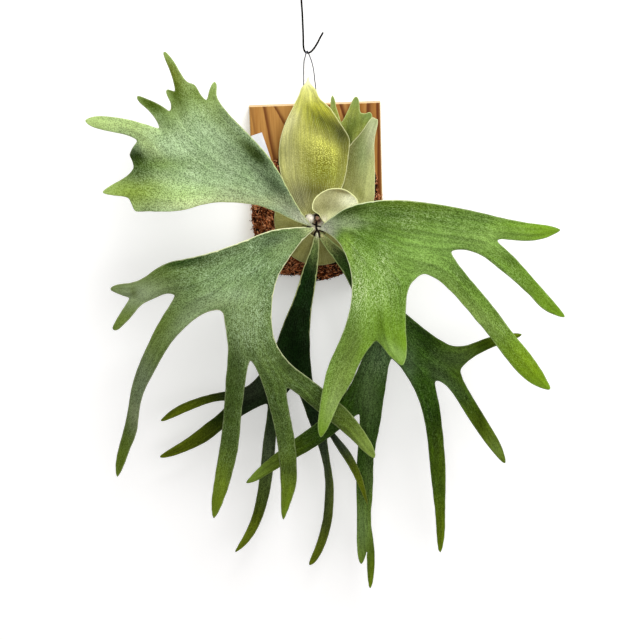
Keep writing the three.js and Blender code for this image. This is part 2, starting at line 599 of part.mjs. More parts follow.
const CENTRE_OUTLINE = [
  [-4, -66], [-9.5, -86], [-22, -115.5], [-40.4, -168], [-52, -192], [-62.5, -218.8], [-76, -251],
  [-94.3, -277.6], [-115.6, -296], [-145.2, -300.4], [-180.4, -306.9], [-221, -323], [-238.7, -337.5],
  // first lobe to the left
  [-242, -342], [-232.2, -340.6], [-202.6, -328], [-165.6, -315], [-141, -315], [-148.9, -328.5],
  [-171, -345.2], [-206.3, -372], [-239.6, -391.5],
  // second lobe to the left
  [-247, -398.5], [-232.2, -398.9], [-199, -386.9], [-171, -373], [-152, -357], [-123, -337],
  [-100.7, -326.7], [-84, -320.5],
  // first lobe that hangs
  [-85, -339.6], [-92.4, -380.4], [-97, -416], [-104.2, -460], [-114.2, -498.3], [-130.8, -533.3],
  [-143, -554], [-131.7, -547.5], [-113.3, -526.7], [-98.3, -496.7], [-87.5, -463.3], [-78.5, -413],
  [-74, -375], [-69, -335], [-57, -307], [-46, -296],
  // second lobe that hangs
  [-35, -312], [-24.8, -346], [-10.6, -389], [-3.4, -425], [-3.3, -466.7], [-8.3, -508.3],
  [-20, -548.3], [-31.5, -578.3], [-21.7, -574.2], [-6.7, -546.7], [4.2, -511.7], [8.3, -480],
  [8.3, -443.3], [3.5, -397], [1.5, -381], [2.5, -368],
  // thin twisted lobe
  [15.4, -390.7], [35, -424.6], [49, -458], [60, -485.5], [58.8, -474], [53.3, -445], [45.5, -421],
  [33, -396], [13.6, -371], [-1, -345], [-13.5, -305], [-18.3, -270], [-19.3, -235], [-14.7, -180],
  [-8.5, -147.7], [-3, -114], [-0.2, -81], [0, -70],
];

const LOWER_RIGHT_OUTLINE = [
  [3, -69], [1, -75.5], [20, -105], [38.5, -135.5], [51, -168], [63, -220], [64, -240], [53, -269.3],
  [36.8, -301.4], [10, -334], [-20.4, -360.4], [-46, -377.6], [-80.4, -403.5], [-113.7, -434],
  // the lobe that reaches left
  [-121.5, -443], [-108, -441.5], [-78.5, -424.8], [-44.3, -404.4], [-10.5, -387], [13.6, -371],
  [42, -345.2], [51, -340.5],
  // two tips that hang side by side
  [51.4, -359], [48.4, -392.5], [44.5, -440], [44.2, -497], [42.8, -557], [47.5, -580], [54.2, -565],
  [56.8, -558], [57.5, -597], [60, -621], [65.8, -597], [67.5, -555], [62.8, -508], [67.7, -456],
  [70.3, -405], [79.6, -362], [87.5, -313], [96.6, -262], [99.5, -257.8],
  // the long right lobe that hangs
  [112.6, -269.5], [131.8, -302.6], [145.9, -343.6], [151.5, -384.6], [155.4, -436], [161.3, -497.4],
  [165.9, -562], [167.8, -565], [173.6, -541], [174.8, -497.4], [176.2, -430.8], [172.8, -374.4],
  [167.7, -328.2], [161.8, -297.4], [164.5, -293.3],
  // the lobe that slants right
  [175.4, -296.2], [190.8, -315.4], [211.3, -351.3], [239.5, -395], [262.6, -424], [266, -425.8],
  [261.3, -402.6], [237, -356.4], [211.3, -310.3], [198.5, -279],
  // the lobe that points right
  [207.7, -267.7], [242.3, -248], [287.5, -231.5], [290.8, -228.7], [278.8, -226.2], [245.2, -231],
  [211.5, -242.7], [190.4, -244], [165.4, -229.6], [121, -191.5], [75, -143], [33, -95.4],
  [17, -81.5], [5, -70],
];

const SHIELD_LOWER_OUTLINE = [
  [-17, -52], [-20, -40], [-26, -20], [-38, -8], [-50, -12], [-59, -26], [-63, -44], [-62, -62],
  [-55, -82], [-41, -101], [-22, -112], [0, -116], [14, -114.5], [27, -110], [42, -98], [54, -80],
  [59, -60], [57, -40], [50, -24], [38, -13], [26, -18], [15, -32], [12, -46], [13, -58],
  [9.5, -71], [-1, -75.5], [-11.5, -71], [-17, -61],
];

const SHIELD_RIGHT_BACK_OUTLINE = [
  [13, -46], [14, -20], [20, 20], [21, 60], [21, 90], [22.5, 111], [25.3, 123.7], [28, 117], [30, 107],
  [33, 97], [37, 90.5], [40, 91.5], [43, 99], [49.5, 109], [53.5, 119], [58, 123], [61.6, 119], [62, 107],
  [64, 99.4], [69.8, 99.2], [77, 100.4], [80, 96], [79, 84], [77, 60], [76, 30], [72, 0], [60, -26],
  [40, -40], [22, -48],
];

const SHIELD_RIGHT_FRONT_OUTLINE = [
  [14, -49], [20, -30], [30, -10], [36, 10], [38, 35], [46, 54], [60.6, 68], [70, 80], [78, 92], [84, 94],
  [88, 88.6], [86, 78], [83, 68], [81.6, 54], [81.6, 37.6], [82, 17], [81, -3], [81, -20], [74, -38],
  [56, -49], [34, -54], [19, -54],
];

const SHIELD_TALL_OUTLINE = [
  [-21, -45.5], [-17, -39.5], [-6, -38.5], [3, -38.5], [10, -43], [20, -30], [31, -12], [38, 1], [41, 17],
  [44.3, 33.5], [45.7, 46], [47.8, 58], [47, 66], [43, 74], [37, 82], [31, 93], [20.8, 110], [10, 118],
  [1, 132], [-3, 138], [-8, 150], [-14, 139], [-20, 131], [-26, 119], [-32, 107], [-40.4, 93],
  [-46.5, 78], [-50.6, 64], [-52.7, 50], [-53, 37.6], [-52.7, 25], [-46, 2], [-36, -22], [-27, -38],
];

const SHIELD_YOUNG_OUTLINE = [
  [-5, -38.6], [-8.6, -34], [-8.8, -28.8], [-5.7, -19.6], [2.4, -11.4], [12.7, -6.3], [26.9, -4.3],
  [39.2, -6.3], [49.4, -13.5], [57.6, -24.7], [55, -36], [42, -43], [28, -49], [14, -55], [8.5, -53],
  [7.5, -48], [4.2, -43.5], [-0.5, -40.4],
];

// To the left of the crown there are no right-hand shields below, so the upper ones lie lower there
const leftDrop = (x) => ramp([[-6, -5.4], [14, 0]], x);

// The tall shield swells over the pad, dips along a slanting valley and leans off the board at its tip
function tallForm(x, z, inset) {
  const lean = ramp([[-50, 0], [30, 2], [60, 10], [110, 15], [150, 19]], z);
  const swell = 9 * bump(x, z, [12, 40], [26, 30]);
  const valley = -5 * bump(x + (z - 72) * 0.8, z, [18, 72], [14, 60]);
  const rolledEdge = 3 * Math.exp(-((inset / 5) ** 2)) * Math.min(1, Math.max(0, (z - 30) / 30));
  return leftDrop(x) + lean + swell + Math.max(valley, -lean * 0.4) + rolledEdge;
}

// The young shield is a shallow cup: its free edge rolls towards the front
function youngForm(x, z, inset) {
  const freeEdge = THREE.MathUtils.clamp((z + 46) / 12, 0, 1);
  const foot = -4 * Math.exp(-((fromCrown(x, z) / 18) ** 2));
  return leftDrop(x) + 1 + foot + 8 * Math.exp(-((inset / 6) ** 2)) * freeEdge;
}

const SHIELDS = {
  shield_lower: { outline: SHIELD_LOWER_OUTLINE, layer: 0, colour: 'olive' },
  shield_right_back: { outline: SHIELD_RIGHT_BACK_OUTLINE, layer: 1, colour: 'back' },
  shield_right_front: { outline: SHIELD_RIGHT_FRONT_OUTLINE, layer: 2, colour: 'pale' },
  shield_tall: { outline: SHIELD_TALL_OUTLINE, layer: 3, colour: 'tall', form: tallForm },
  shield_young: { outline: SHIELD_YOUNG_OUTLINE, layer: 4, colour: 'cream', form: youngForm },
};

const FRONDS = {
  frond_upper_left: {
    outline: UPPER_LEFT_OUTLINE,
    colour: 'speckled',
    rise: [
      [0, 61.8], [9, 62], [16, 67.5], [26, 76], [45, 87], [100, 110], [200, 138], [260, 142], [340, 126],
    ],
    arch: 6,
    bends: [
      { at: [-305, 0], reach: 45, by: 12 }, { at: [-322, 102], reach: 60, by: -10 },
      { at: [-206, 193], reach: 60, by: -16 }, { at: [-246, 134], reach: 40, by: 8 },
      { at: [-138, 150], reach: 35, by: -8 }, { at: [-263, 50], reach: 24, by: -12 },
      { at: [-190, -28], reach: 34, by: 9 },
    ],
  },
  frond_lower_left: {
    outline: LOWER_LEFT_OUTLINE,
    colour: 'lower',
    rise: [
      [0, 62.6], [7, 62.6], [18, 69], [50, 88], [110, 120], [200, 150], [260, 154], [350, 138], [470, 112],
    ],
    arch: 5,
    bends: [
      { at: [-302, -140], reach: 55, by: -14 }, { at: [-302, -202], reach: 50, by: 10 },
      { at: [-313, -425], reach: 110, by: -14 }, { at: [-172, -498], reach: 120, by: 10 },
      { at: [72, -411], reach: 90, by: -8 },
    ],
  },
  frond_right: {
    outline: RIGHT_OUTLINE,
    colour: 'bright',
    rise: [
      [0, 63.6], [6, 64], [16, 75], [30, 88], [60, 110], [120, 142], [200, 172], [290, 182], [400, 166],
    ],
    arch: 6,
    bends: [
      { at: [346, -76], reach: 70, by: -16 }, { at: [353, -205], reach: 60, by: 6 },
      { at: [332, -312], reach: 80, by: -10 }, { at: [116, -269], reach: 70, by: -10 },
      { at: [-7, -375], reach: 100, by: 6 },
    ],
  },
  frond_centre: {
    outline: CENTRE_OUTLINE,
    colour: 'shade',
    rise: [
      [0, 64.1], [8, 64.2], [18, 65.6], [60, 66], [100, 63], [200, 60], [300, 56], [400, 52], [520, 46],
    ],
    arch: 4,
    bends: [
      { at: [-242, -342], reach: 80, by: 10 }, { at: [-247, -398], reach: 90, by: -10 },
      { at: [50, -450], reach: 60, by: 34 }, { at: [-143, -554], reach: 90, by: 8 },
    ],
  },
  frond_lower_right: {
    outline: LOWER_RIGHT_OUTLINE,
    colour: 'deep',
    rise: [
      [0, 62.6], [10, 62.8], [22, 67.5], [60, 82], [120, 100], [200, 112], [300, 106], [400, 92], [560, 74],
    ],
    arch: 5,
    bends: [
      { at: [48, -445], reach: 75, by: -30 }, { at: [290, -229], reach: 80, by: -14 },
      { at: [266, -426], reach: 90, by: 10 }, { at: [168, -565], reach: 120, by: -8 },
      { at: [-121, -443], reach: 80, by: -10 },
    ],
  },
};

const plant = new THREE.Group();

function place(name, geometry, colour, roughness, metalness = 0) {
  const material = new THREE.MeshStandardMaterial({ color: COLOURS[colour], roughness, metalness });
  const mesh = new THREE.Mesh(geometry, material);
  mesh.name = name;
  plant.add(mesh);
}

place('board', boardGeometry(), 'pine', 0.7);
place('root_pad', padGeometry(), 'coir', 1);
place('rhizome', fromSolid(rhizomeSolid(0, BUD_SCALE_HEIGHT)), 'rhizome', 0.9);
place('woolly_bud', fromSolid(toSolid(lump(WOOLLY_BUD)).subtract(rhizomeSolid(RHIZOME_CLEAR))), 'wool', 1);
Object.entries(SHIELDS).forEach(([name, shield]) => place(name, shieldFrond(shield), shield.colour, 0.75));
Object.entries(FRONDS).forEach(([name, frond]) => place(name, fertileFrond(frond), frond.colour, 0.6));
EYE_PLACES.forEach(([x, which]) => place(`screw_eye_${which}`, fromSolid(screwEye(x)), 'steel', 0.35, 1));
NAIL_PLACES.forEach((at, i) => place(`pad_nail_${i + 1}`, fromSolid(nail(at)), 'steel', 0.4, 1));
place('wire_loop', wireLoop(), 'steel', 0.35, 1);
place('hanging_hook', hangingHook(), 'black', 0.5, 0.6);
place('plant_tag', tagGeometry(), 'tag', 0.45);

export default plant;
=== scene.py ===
"""Looks of a staghorn fern that hangs on a pine board.

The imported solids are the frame. Each leaf, the coir pad, the buds and the hanging wires are remade here as
finer pieces over their solids, and the board, label and small steel stay as they are with their own finish.
"""

import logging
import math
from dataclasses import dataclass
from enum import Enum
from functools import reduce

import bmesh
import bpy
import numpy as np
from mathutils import Matrix, Vector
from mathutils.bvhtree import BVHTree
from mathutils.kdtree import KDTree


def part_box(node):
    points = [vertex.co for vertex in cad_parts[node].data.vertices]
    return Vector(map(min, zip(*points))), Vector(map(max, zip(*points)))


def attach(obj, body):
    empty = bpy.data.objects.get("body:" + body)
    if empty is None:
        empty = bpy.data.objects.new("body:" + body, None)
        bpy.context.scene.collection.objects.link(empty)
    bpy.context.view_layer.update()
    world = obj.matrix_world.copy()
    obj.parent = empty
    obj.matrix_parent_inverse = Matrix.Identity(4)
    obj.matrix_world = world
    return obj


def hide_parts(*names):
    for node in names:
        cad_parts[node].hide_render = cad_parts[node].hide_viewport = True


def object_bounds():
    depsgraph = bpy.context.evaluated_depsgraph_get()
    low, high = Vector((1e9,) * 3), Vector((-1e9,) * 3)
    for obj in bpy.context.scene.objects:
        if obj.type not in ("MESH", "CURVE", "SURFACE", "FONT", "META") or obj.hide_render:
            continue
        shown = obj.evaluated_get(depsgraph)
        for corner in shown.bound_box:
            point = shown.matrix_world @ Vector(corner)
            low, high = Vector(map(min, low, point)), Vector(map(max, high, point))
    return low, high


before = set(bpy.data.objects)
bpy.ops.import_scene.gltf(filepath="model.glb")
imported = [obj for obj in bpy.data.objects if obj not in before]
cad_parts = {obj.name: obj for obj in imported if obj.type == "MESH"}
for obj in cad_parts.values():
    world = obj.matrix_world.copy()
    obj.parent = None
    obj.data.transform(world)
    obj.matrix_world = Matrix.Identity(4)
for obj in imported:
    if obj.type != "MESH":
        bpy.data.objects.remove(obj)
CAD_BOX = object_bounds()

LOG = logging.getLogger("fern")
MM = 0.001
MERGE_WITHIN = 0.002 * MM
FAR_AWAY = 9.0
BODY = "root"

Array = np.ndarray
Colour = tuple[float, float, float, float]
Drawn = tuple[float, float]
Place = tuple[float, float, float]
Range = tuple[float, float]
Mesh = bpy.types.Mesh
Node = bpy.types.Node
Piece = bpy.types.Object
Shape = bmesh.types.BMesh
Socket = bpy.types.NodeSocket
Tree = bpy.types.NodeTree
Given = dict[str | int, object]


def tone(red: int, green: int, blue: int) -> Colour:
    """Turns a colour as the eye reads it, from 0 to 255, into the linear one that a shader takes."""
    linear = [((c / 255 + 0.055) / 1.055) ** 2.4 if c > 10 else c / 255 / 12.92 for c in (red, green, blue)]
    return (*linear, 1.0)


def take(piece: Piece) -> None:
    """Makes a piece the only selected one, and the active one.

    Args:
        piece: The piece to select.
    """
    bpy.ops.object.select_all(action="DESELECT")
    piece.select_set(True)
    bpy.context.view_layer.objects.active = piece


def smooth(piece: Piece) -> None:
    """Shades a piece smooth."""
    take(piece)
    bpy.ops.object.shade_smooth()


def finish_with(piece: Piece, kind: str, **settings: object) -> None:
    """Adds a modifier to a piece and applies it.

    Args:
        piece: The piece to change.
        kind: Blender's name for the kind of modifier.
        **settings: The modifier's own values.
    """
    take(piece)
    modifier = piece.modifiers.new(kind.title(), kind)
    for name, value in settings.items():
        setattr(modifier, name, value)
    bpy.ops.object.modifier_apply(modifier=modifier.name)


def subdivide(piece: Piece, levels: int) -> None:
    """Divides and rounds a piece's faces."""
    finish_with(piece, "SUBSURF", levels=levels, render_levels=levels)


def new_object(name: str, data: bpy.types.ID) -> Piece:
    """Adds an object to the scene, at the origin.

    Args:
        name: The object's name.
        data: Its mesh, curve, camera or light.

    Returns:
        The object.
    """
    data.name = name
    made = bpy.data.objects.new(name, data)
    bpy.context.scene.collection.objects.link(made)
    return made


def piece_of(name: str, shape: Shape) -> Piece:
    """Makes a piece of a shape, which is freed.

    Args:
        name: The piece's name.
        shape: Its faces.

    Returns:
        The piece.
    """
    mesh = bpy.data.meshes.new(name)
    shape.to_mesh(mesh)
    shape.free()
    return new_object(name, mesh)


def merged_copy(node: str) -> Shape:
    """Copies a solid's mesh with its shared corners merged.

    Args:
        node: The solid's name.

    Returns:
        The copy.
    """
    shape = bmesh.new()
    shape.from_mesh(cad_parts[node].data)
    bmesh.ops.remove_doubles(shape, verts=shape.verts, dist=MERGE_WITHIN)
    shape.normal_update()
    return shape


def hit_tree(node: str) -> BVHTree:
    """A solid's faces, sorted for casting rays at them."""
    return BVHTree.FromBMesh(merged_copy(node))


def dress(piece: Piece, slot: str, *replaced: str) -> None:
    """Hands a finished piece over: attaches it to its body and hides the solids it stands for.

    Args:
        piece: The finished piece.
        slot: Not used.
        *replaced: The solids that the piece replaces.
    """
    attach(piece, BODY)
    if replaced:
        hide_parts(*replaced)
    LOG.info("%s: %d faces", piece.name, len(piece.data.polygons))


def read_rows(parts: bpy.types.bpy_prop_collection, key: str, width: int, kind: type = float) -> Array:
    """Reads what a mesh keeps for each of its parts.

    Args:
        parts: The parts, such as its vertices.
        key: Blender's name for what is read.
        width: How many numbers each part has.
        kind: The kind of number.

    Returns:
        One row for each part.
    """
    flat = np.empty(len(parts) * width, kind)
    parts.foreach_get(key, flat)
    return flat.reshape(-1, width)


def corners(mesh: Mesh) -> Array:
    """A mesh's vertex positions."""
    return read_rows(mesh.vertices, "co", 3)


def corner_normals(mesh: Mesh) -> Array:
    """A mesh's vertex normals."""
    return read_rows(mesh.vertex_normals, "vector", 3)


def set_corners(mesh: Mesh, places: Array) -> None:
    """Moves a mesh's vertices to new positions."""
    mesh.vertices.foreach_set("co", places.ravel())
    mesh.update()


def raise_corners(mesh: Mesh, height: Array) -> None:
    """Moves each of a mesh's vertices along its normal."""
    set_corners(mesh, corners(mesh) + corner_normals(mesh) * height[:, None])


def read_field(mesh: Mesh, name: str) -> Array:
    """Reads a number that a mesh keeps at each vertex."""
    return read_rows(mesh.attributes[name].data, "value", 1)[:, 0]


def write_field(mesh: Mesh, name: str, values: Array) -> None:
    """Keeps a number at each vertex of a mesh."""
    mesh.attributes.new(name, "FLOAT", "POINT").data.foreach_set("value", values)


def sorted_points(points: Array) -> KDTree:
    """Sorts points, for finding the nearest of them.

    Args:
        points: The points, one to a row.

    Returns:
        The points' tree.
    """
    tree = KDTree(len(points))
    for index, point in enumerate(points):
        tree.insert(point, index)
    tree.balance()
    return tree


def distance_to(places: Array, targets: Array) -> Array:
    """Distance from each place to the nearest target."""
    tree = sorted_points(targets)
    return np.array([tree.find(place)[2] for place in places])


def ripple(places: Array, wavelength: float, seed: int) -> Array:
    """A smooth irregular wave through space.

    Args:
        places: Positions as rows of x, y and z.
        wavelength: The distance between crests.
        seed: Which of many such waves it is.

    Returns:
        The wave's height at each position, mostly within -1 to 1.
    """
    waves, gain = 7, 1.8
    draw = np.random.default_rng(seed)
    directions = draw.normal(size=(waves, 3))
    directions /= np.linalg.norm(directions, axis=1, keepdims=True)
    stretch = draw.uniform(0.7, 1.5, waves)
    phases = draw.uniform(0, 2 * math.pi, waves)
    angles = places @ (directions * stretch[:, None]).T * (2 * math.pi / wavelength) + phases
    return np.sin(angles).mean(axis=1) * gain


def way_along(out: Array, draw: np.random.Generator) -> Array:
    """Draws a direction along a surface, square to the way out of it."""
    way = np.cross(out, draw.normal(size=3))
    return way / np.linalg.norm(way)


@dataclass(frozen=True)
class Eye:
    """The point that the plant is seen from, and how it looks from there.

    Places on the leaves are given as drawn on the plane of the board's front face, in millimetres.
    """

    side: float = -2.5 * MM
    height: float = 302 * MM
    distance: float = 2.0
    pitch: float = math.radians(14)
    roll: float = math.radians(1.9)
    lens: float = 80.0
    sensor: float = 36.0

    def place(self) -> Array:
        """The eye's own position."""
        return np.array([self.side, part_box("board")[0].y - self.distance, self.height])

    def drawn(self, places: Array) -> Array:
        """Where points appear on the plane of the board's front face, as rows of x and z in millimetres."""
        rays = places - self.place()
        return (self.place() + rays * (self.distance / rays[:, 1:2]))[:, [0, 2]] / MM

    def make_camera(self) -> None:
        """Makes the camera at the eye and gives it to the scene."""
        ahead = Vector((0, math.cos(self.pitch), -math.sin(self.pitch)))
        up = Vector((0, math.sin(self.pitch), math.cos(self.pitch)))
        right = Vector((1, 0, 0))
        turned_right = right * math.cos(self.roll) - up * math.sin(self.roll)
        turned_up = right * math.sin(self.roll) + up * math.cos(self.roll)
        data = bpy.data.cameras.new("camera")
        data.lens = self.lens
        data.sensor_width = self.sensor
        camera = new_object("camera", data)
        axes = Matrix((turned_right, turned_up, -ahead)).transposed().to_4x4()
        camera.matrix_world = Matrix.Translation(Vector(self.place())) @ axes
        bpy.context.scene.camera = camera


EYE = Eye()
CROWN: Drawn = (-2, -60)


class Shading:
    """A node tree under construction.

    A value given to it is a number, a colour, another node's output or the name of a field on the mesh.
    """

    def __init__(self, tree: Tree) -> None:
        """Starts on a tree."""
        self.tree = tree

    def node(self, kind: str, given: Given | None = None, **settings: object) -> Node:
        """Adds a node.

        Args:
            kind: Blender's name for the kind of node.
            given: What goes into its inputs, by their names or numbers.
            **settings: The node's own properties.

        Returns:
            The node.
        """
        made = self.tree.nodes.new(kind)
        for name, value in settings.items():
            setattr(made, name, value)
        self.fill(made, given or {})
        return made

    def fill(self, node: Node, given: Given) -> None:
        """Feeds a node's inputs, by their names or numbers."""
        for key, value in given.items():
            self.feed(node.inputs[key], value)

    def feed(self, socket: Socket, value: object) -> None:
        """Links a socket to an output or a field, or sets it to a plain value.

        Args:
            socket: The socket to feed.
            value: The value.
        """
        if isinstance(value, str):
            value = self.node("ShaderNodeAttribute", attribute_name=value).outputs["Fac"]
        if isinstance(value, Socket):
            self.tree.links.new(value, socket)
        else:
            socket.default_value = value

    def math(self, operation: str, *values: object, clamp: bool = False) -> Socket:
        """Adds one step of arithmetic, by Blender's name for it."""
        made = self.node("ShaderNodeMath", dict(enumerate(values)), operation=operation, use_clamp=clamp)
        return made.outputs[0]

    def times(self, *factors: object) -> Socket:
        """Multiplies numbers."""
        return reduce(lambda product, factor: self.math("MULTIPLY", product, factor), factors)

    def between(self, value: object, low: float, high: float, to: Range = (0.0, 1.0)) -> Socket:
        """Eases a value from one output number to another as it goes from low to high."""
        given = {"Value": value, "From Min": low, "From Max": high, "To Min": to[0], "To Max": to[1]}
        return self.node("ShaderNodeMapRange", given, interpolation_type="SMOOTHSTEP").outputs[0]

    def blend(self, share: object, first: object, second: object, how: str = "MIX") -> Socket:
        """Mixes two colours, with the given share of the second one."""
        given = {0: share, 6: first, 7: second}
        return self.node("ShaderNodeMix", given, data_type="RGBA", blend_type=how).outputs[2]

    def vary(self, colour: object, factor: Socket) -> Socket:
        """Multiplies a colour by a number."""
        return self.blend(1.0, colour, factor, "MULTIPLY")

    def patched(self, colour: object) -> Socket:
        """Lays the soft painting that the mesh keeps over a colour."""
        patch = self.node("ShaderNodeAttribute", attribute_name="patch").outputs
        return self.blend(patch["Alpha"], colour, patch["Color"])

    def spot(self) -> Socket:
        """The position on the piece, in metres."""
        return self.node("ShaderNodeTexCoord").outputs["Object"]

    def noise(self, where: object, size: float, detail: float = 3, roughness: float = 0.55) -> Socket:
        """Soft noise with features of about the given size in metres."""
        given = {"Vector": where, "Scale": 1 / size, "Detail": detail, "Roughness": roughness}
        return self.node("ShaderNodeTexNoise", given).outputs["Fac"]

    def cells(self, where: object, size: float) -> Socket:
        """Distance to the nearest of many scattered points, about the given size apart."""
        return self.node("ShaderNodeTexVoronoi", {"Vector": where, "Scale": 1 / size}).outputs["Distance"]

    def stretched(self, where: object, scale: Place, turn: float = 0) -> Socket:
        """A position stretched along the axes after a turn about Y, for a pattern with a grain."""
        given = {"Vector": where, "Rotation": (0, turn, 0), "Scale": scale}
        return self.node("ShaderNodeMapping", given, vector_type="POINT").outputs[0]

    def bump(self, height: object, depth: float, strength: float, onto: Socket | None = None) -> Socket:
        """Raises the surface by a height between 0 and 1, times the given depth in metres."""
        given = {"Strength": strength, "Distance": depth, "Height": height}
        return self.node("ShaderNodeBump", given | ({"Normal": onto} if onto else {})).outputs[0]

    def show_mix(self, output: str, share: Socket, first: Node, second: Node) -> None:
        """Sends a mix of two shaders to the tree's output, with the given share of the second one."""
        mix = self.node("ShaderNodeMixShader", {0: share, 1: first.outputs[0], 2: second.outputs[0]})
        self.feed(self.tree.nodes[output].inputs["Surface"], mix.outputs[0])


def new_material(name: str) -> tuple[bpy.types.Material, Shading, Node]:
    """Starts a material.

    Args:
        name: The material's name.

    Returns:
        The material, its node tree under construction and its main shader.
    """
    material = bpy.data.materials.new(name)
    material.use_nodes = True
    return material, Shading(material.node_tree), material.node_tree.nodes["Principled BSDF"]


def new_effect(name: str, inputs: dict[str, str], outputs: tuple[str, ...]) -> tuple[Tree, Shading]:
    """Starts an effect that several materials share.

    Args:
        name: What the effect is.
        inputs: Its inputs, each with its kind of socket.
        outputs: Its outputs, which all carry numbers.

    Returns:
        The node group and its tree under construction.
    """
    tree = bpy.data.node_groups.new(name, "ShaderNodeTree")
    for label, kind in inputs.items():
        tree.interface.new_socket(label, in_out="INPUT", socket_type=kind)
    for label in outputs:
        tree.interface.new_socket(label, in_out="OUTPUT", socket_type="NodeSocketFloat")
    return tree, Shading(tree)


def leaf_grain() -> Tree:
    """Veins, dashes and streaks that run from a leaf's foot to its tips, and fork where it widens.

    Returns:
        A group that takes a place across the leaf, how many times the veins have forked there and the
        distance from the foot, and gives how much of a vein lies at a point, and two uneven fields.
    """
    vein_sharpness, next_pattern = 5, 5.3
    patterns = {"Fleck": (2.1, 4 * MM), "Streak": (0.5, 60 * MM)}
    kinds = dict.fromkeys(("Across", "Forks", "Along"), "NodeSocketFloat")
    tree, shading = new_effect("leaf grain", kinds, ("Vein", "Fleck", "Streak"))
    given = shading.node("NodeGroupInput").outputs
    whole = shading.math("FLOOR", given["Forks"])
    part = shading.between(shading.math("SUBTRACT", given["Forks"], whole), 0, 1)
    fields: dict[str, list[Socket]] = {"Vein": [], "Fleck": [], "Streak": []}
    for extra in (0, 1):
        level = shading.math("ADD", whole, extra)
        place = shading.times(given["Across"], shading.math("POWER", 2, level))
        turn = shading.math("MULTIPLY_ADD", shading.math("FRACT", place), 2, -1)
        fields["Vein"].append(shading.math("POWER", shading.math("ABSOLUTE", turn), vein_sharpness))
        for name, (crowding, length) in patterns.items():
            along = shading.math("DIVIDE", given["Along"], length)
            axes = {0: shading.times(place, crowding), 1: along, 2: shading.times(level, next_pattern)}
            fields[name].append(shading.noise(shading.node("ShaderNodeCombineXYZ", axes).outputs[0], 1, 2))
    result = shading.node("NodeGroupOutput")
    for name, (coarse, fine) in fields.items():
        mix = shading.node("ShaderNodeMix", {0: part, 2: coarse, 3: fine}, data_type="FLOAT")
        shading.feed(result.inputs[name], mix.outputs[0])
    return tree


def felt_of_hairs() -> Tree:
    """The bloom of tiny star-shaped hairs on a leaf.

    Returns:
        A group that takes a position and an uneven field along the veins, and gives the clumps of hairs
        and the felt's height.
    """
    clump, star = 1.5 * MM, 0.9 * MM
    soft_share, fleck_share, star_share = 0.4, 0.36, 0.24
    kinds = {"Position": "NodeSocketVector", "Fleck": "NodeSocketFloat"}
    tree, shading = new_effect("felt of hairs", kinds, ("Clumps", "Height"))
    given = shading.node("NodeGroupInput").outputs
    soft = shading.noise(given["Position"], clump, 4, 0.7)
    stars = shading.math("SUBTRACT", 1, shading.cells(given["Position"], clump))
    clumps = shading.math("MULTIPLY_ADD", soft, soft_share, shading.times(given["Fleck"], fleck_share))
    clumps = shading.math("MULTIPLY_ADD", stars, star_share, clumps)
    height = shading.math("MULTIPLY_ADD", shading.cells(given["Position"], star), -0.5, clumps)
    shading.node("NodeGroupOutput", {"Clumps": clumps, "Height": height})
    return tree


class Side(Enum):
    """Which face of a leaf a finish is for."""

    UPPER = "upper"
    UNDER = "under"


@dataclass(frozen=True)
class Spot:
    """A soft oval spot on the plant, drawn as seen from the front, in millimetres."""

    at: Drawn
    reach: Drawn
    strength: float = 1.0
    slant: float = 0.0

    def cover(self, drawn: Array) -> Array:
        """How strongly the spot covers points.

        Args:
            drawn: The points, as drawn.

        Returns:
            The cover at each.
        """
        away = drawn - np.array(self.at)
        turn = math.radians(self.slant)
        along = away[:, 0] * math.cos(turn) + away[:, 1] * math.sin(turn)
        across = -away[:, 0] * math.sin(turn) + away[:, 1] * math.cos(turn)
        return self.strength * np.exp(-((along / self.reach[0]) ** 2 + (across / self.reach[1]) ** 2))


@dataclass(frozen=True)
class Slit:
    """A narrow gap between two leaf bases, painted near-black as shade, drawn as seen from the front, in
    millimetres.
    """

    points: tuple[Drawn, ...]
    width: float
    strength: float = 1.0

    def cover(self, drawn: Array) -> Array:
        """How strongly the slit covers points.

        Args:
            drawn: The points, as drawn.

        Returns:
            The cover at each.
        """
        nearest = np.full(len(drawn), np.inf)
        for start, end in zip(self.points, self.points[1:]):
            way = np.array(end) - np.array(start)
            away = drawn - np.array(start)
            share = np.clip(away @ way / (way @ way), 0, 1)[:, None]
            nearest = np.minimum(nearest, np.linalg.norm(away - share * way, axis=1))
        return self.strength * np.exp(-((nearest / self.width) ** 2))


# A painting of soft spots, each with its colour. On the leaves the dabs are partly the leaves' own tones and
# partly painted shade and painted highlight, where folds, rolled rims and other leaves shade or light the
# blade.
Paint = tuple[tuple[Spot, Colour], ...]


def dab(
    at: Drawn, reach: Drawn, colour: tuple[int, int, int], strength: float = 0.5, slant: float = 0.0,
) -> tuple[Spot, Colour]:
    """A soft spot of paint, its colour as the eye reads it."""
    return Spot(at, reach, strength, slant), tone(*colour)


# The gaps between the leaf bases at the crown. They are sunk into the stem and painted near-black as shade
# on the stem and on every leaf that reaches them; the last one is a painted shadow on the lower shield under
# the upper left frond's foot.
SHADED_CROWN_GAPS = (
    Slit(((-3.0, -54), (-3.6, -57.8), (-3.5, -62), (-2.4, -65.2)), 1.8),
    Slit(((-3.0, -64.6), (-5.6, -68.2), (-6.7, -71.6)), 1.6),
    Slit(((-1.6, -65.2), (-0.1, -68.5), (0.9, -74.4)), 1.6),
    Slit(((-1.6, -65.2), (3, -66), (7.4, -67.4)), 1.1),
    Slit(((-4, -57), (-8.6, -55.4)), 1.3, 0.9),
    Slit(((-2, -58.6), (2.2, -59.3)), 1.3),
    Slit(((-11, -60), (-24, -57)), 1.2, 0.7),
)
GAP_SHADE_EDGE: Range = (0.15, 0.7)


def strongest(covers: tuple[Spot | Slit, ...], drawn: Array) -> Array:
    """How strongly the strongest of some spots or slits covers each drawn point."""
    return np.max([cover.cover(drawn) for cover in covers], axis=0)


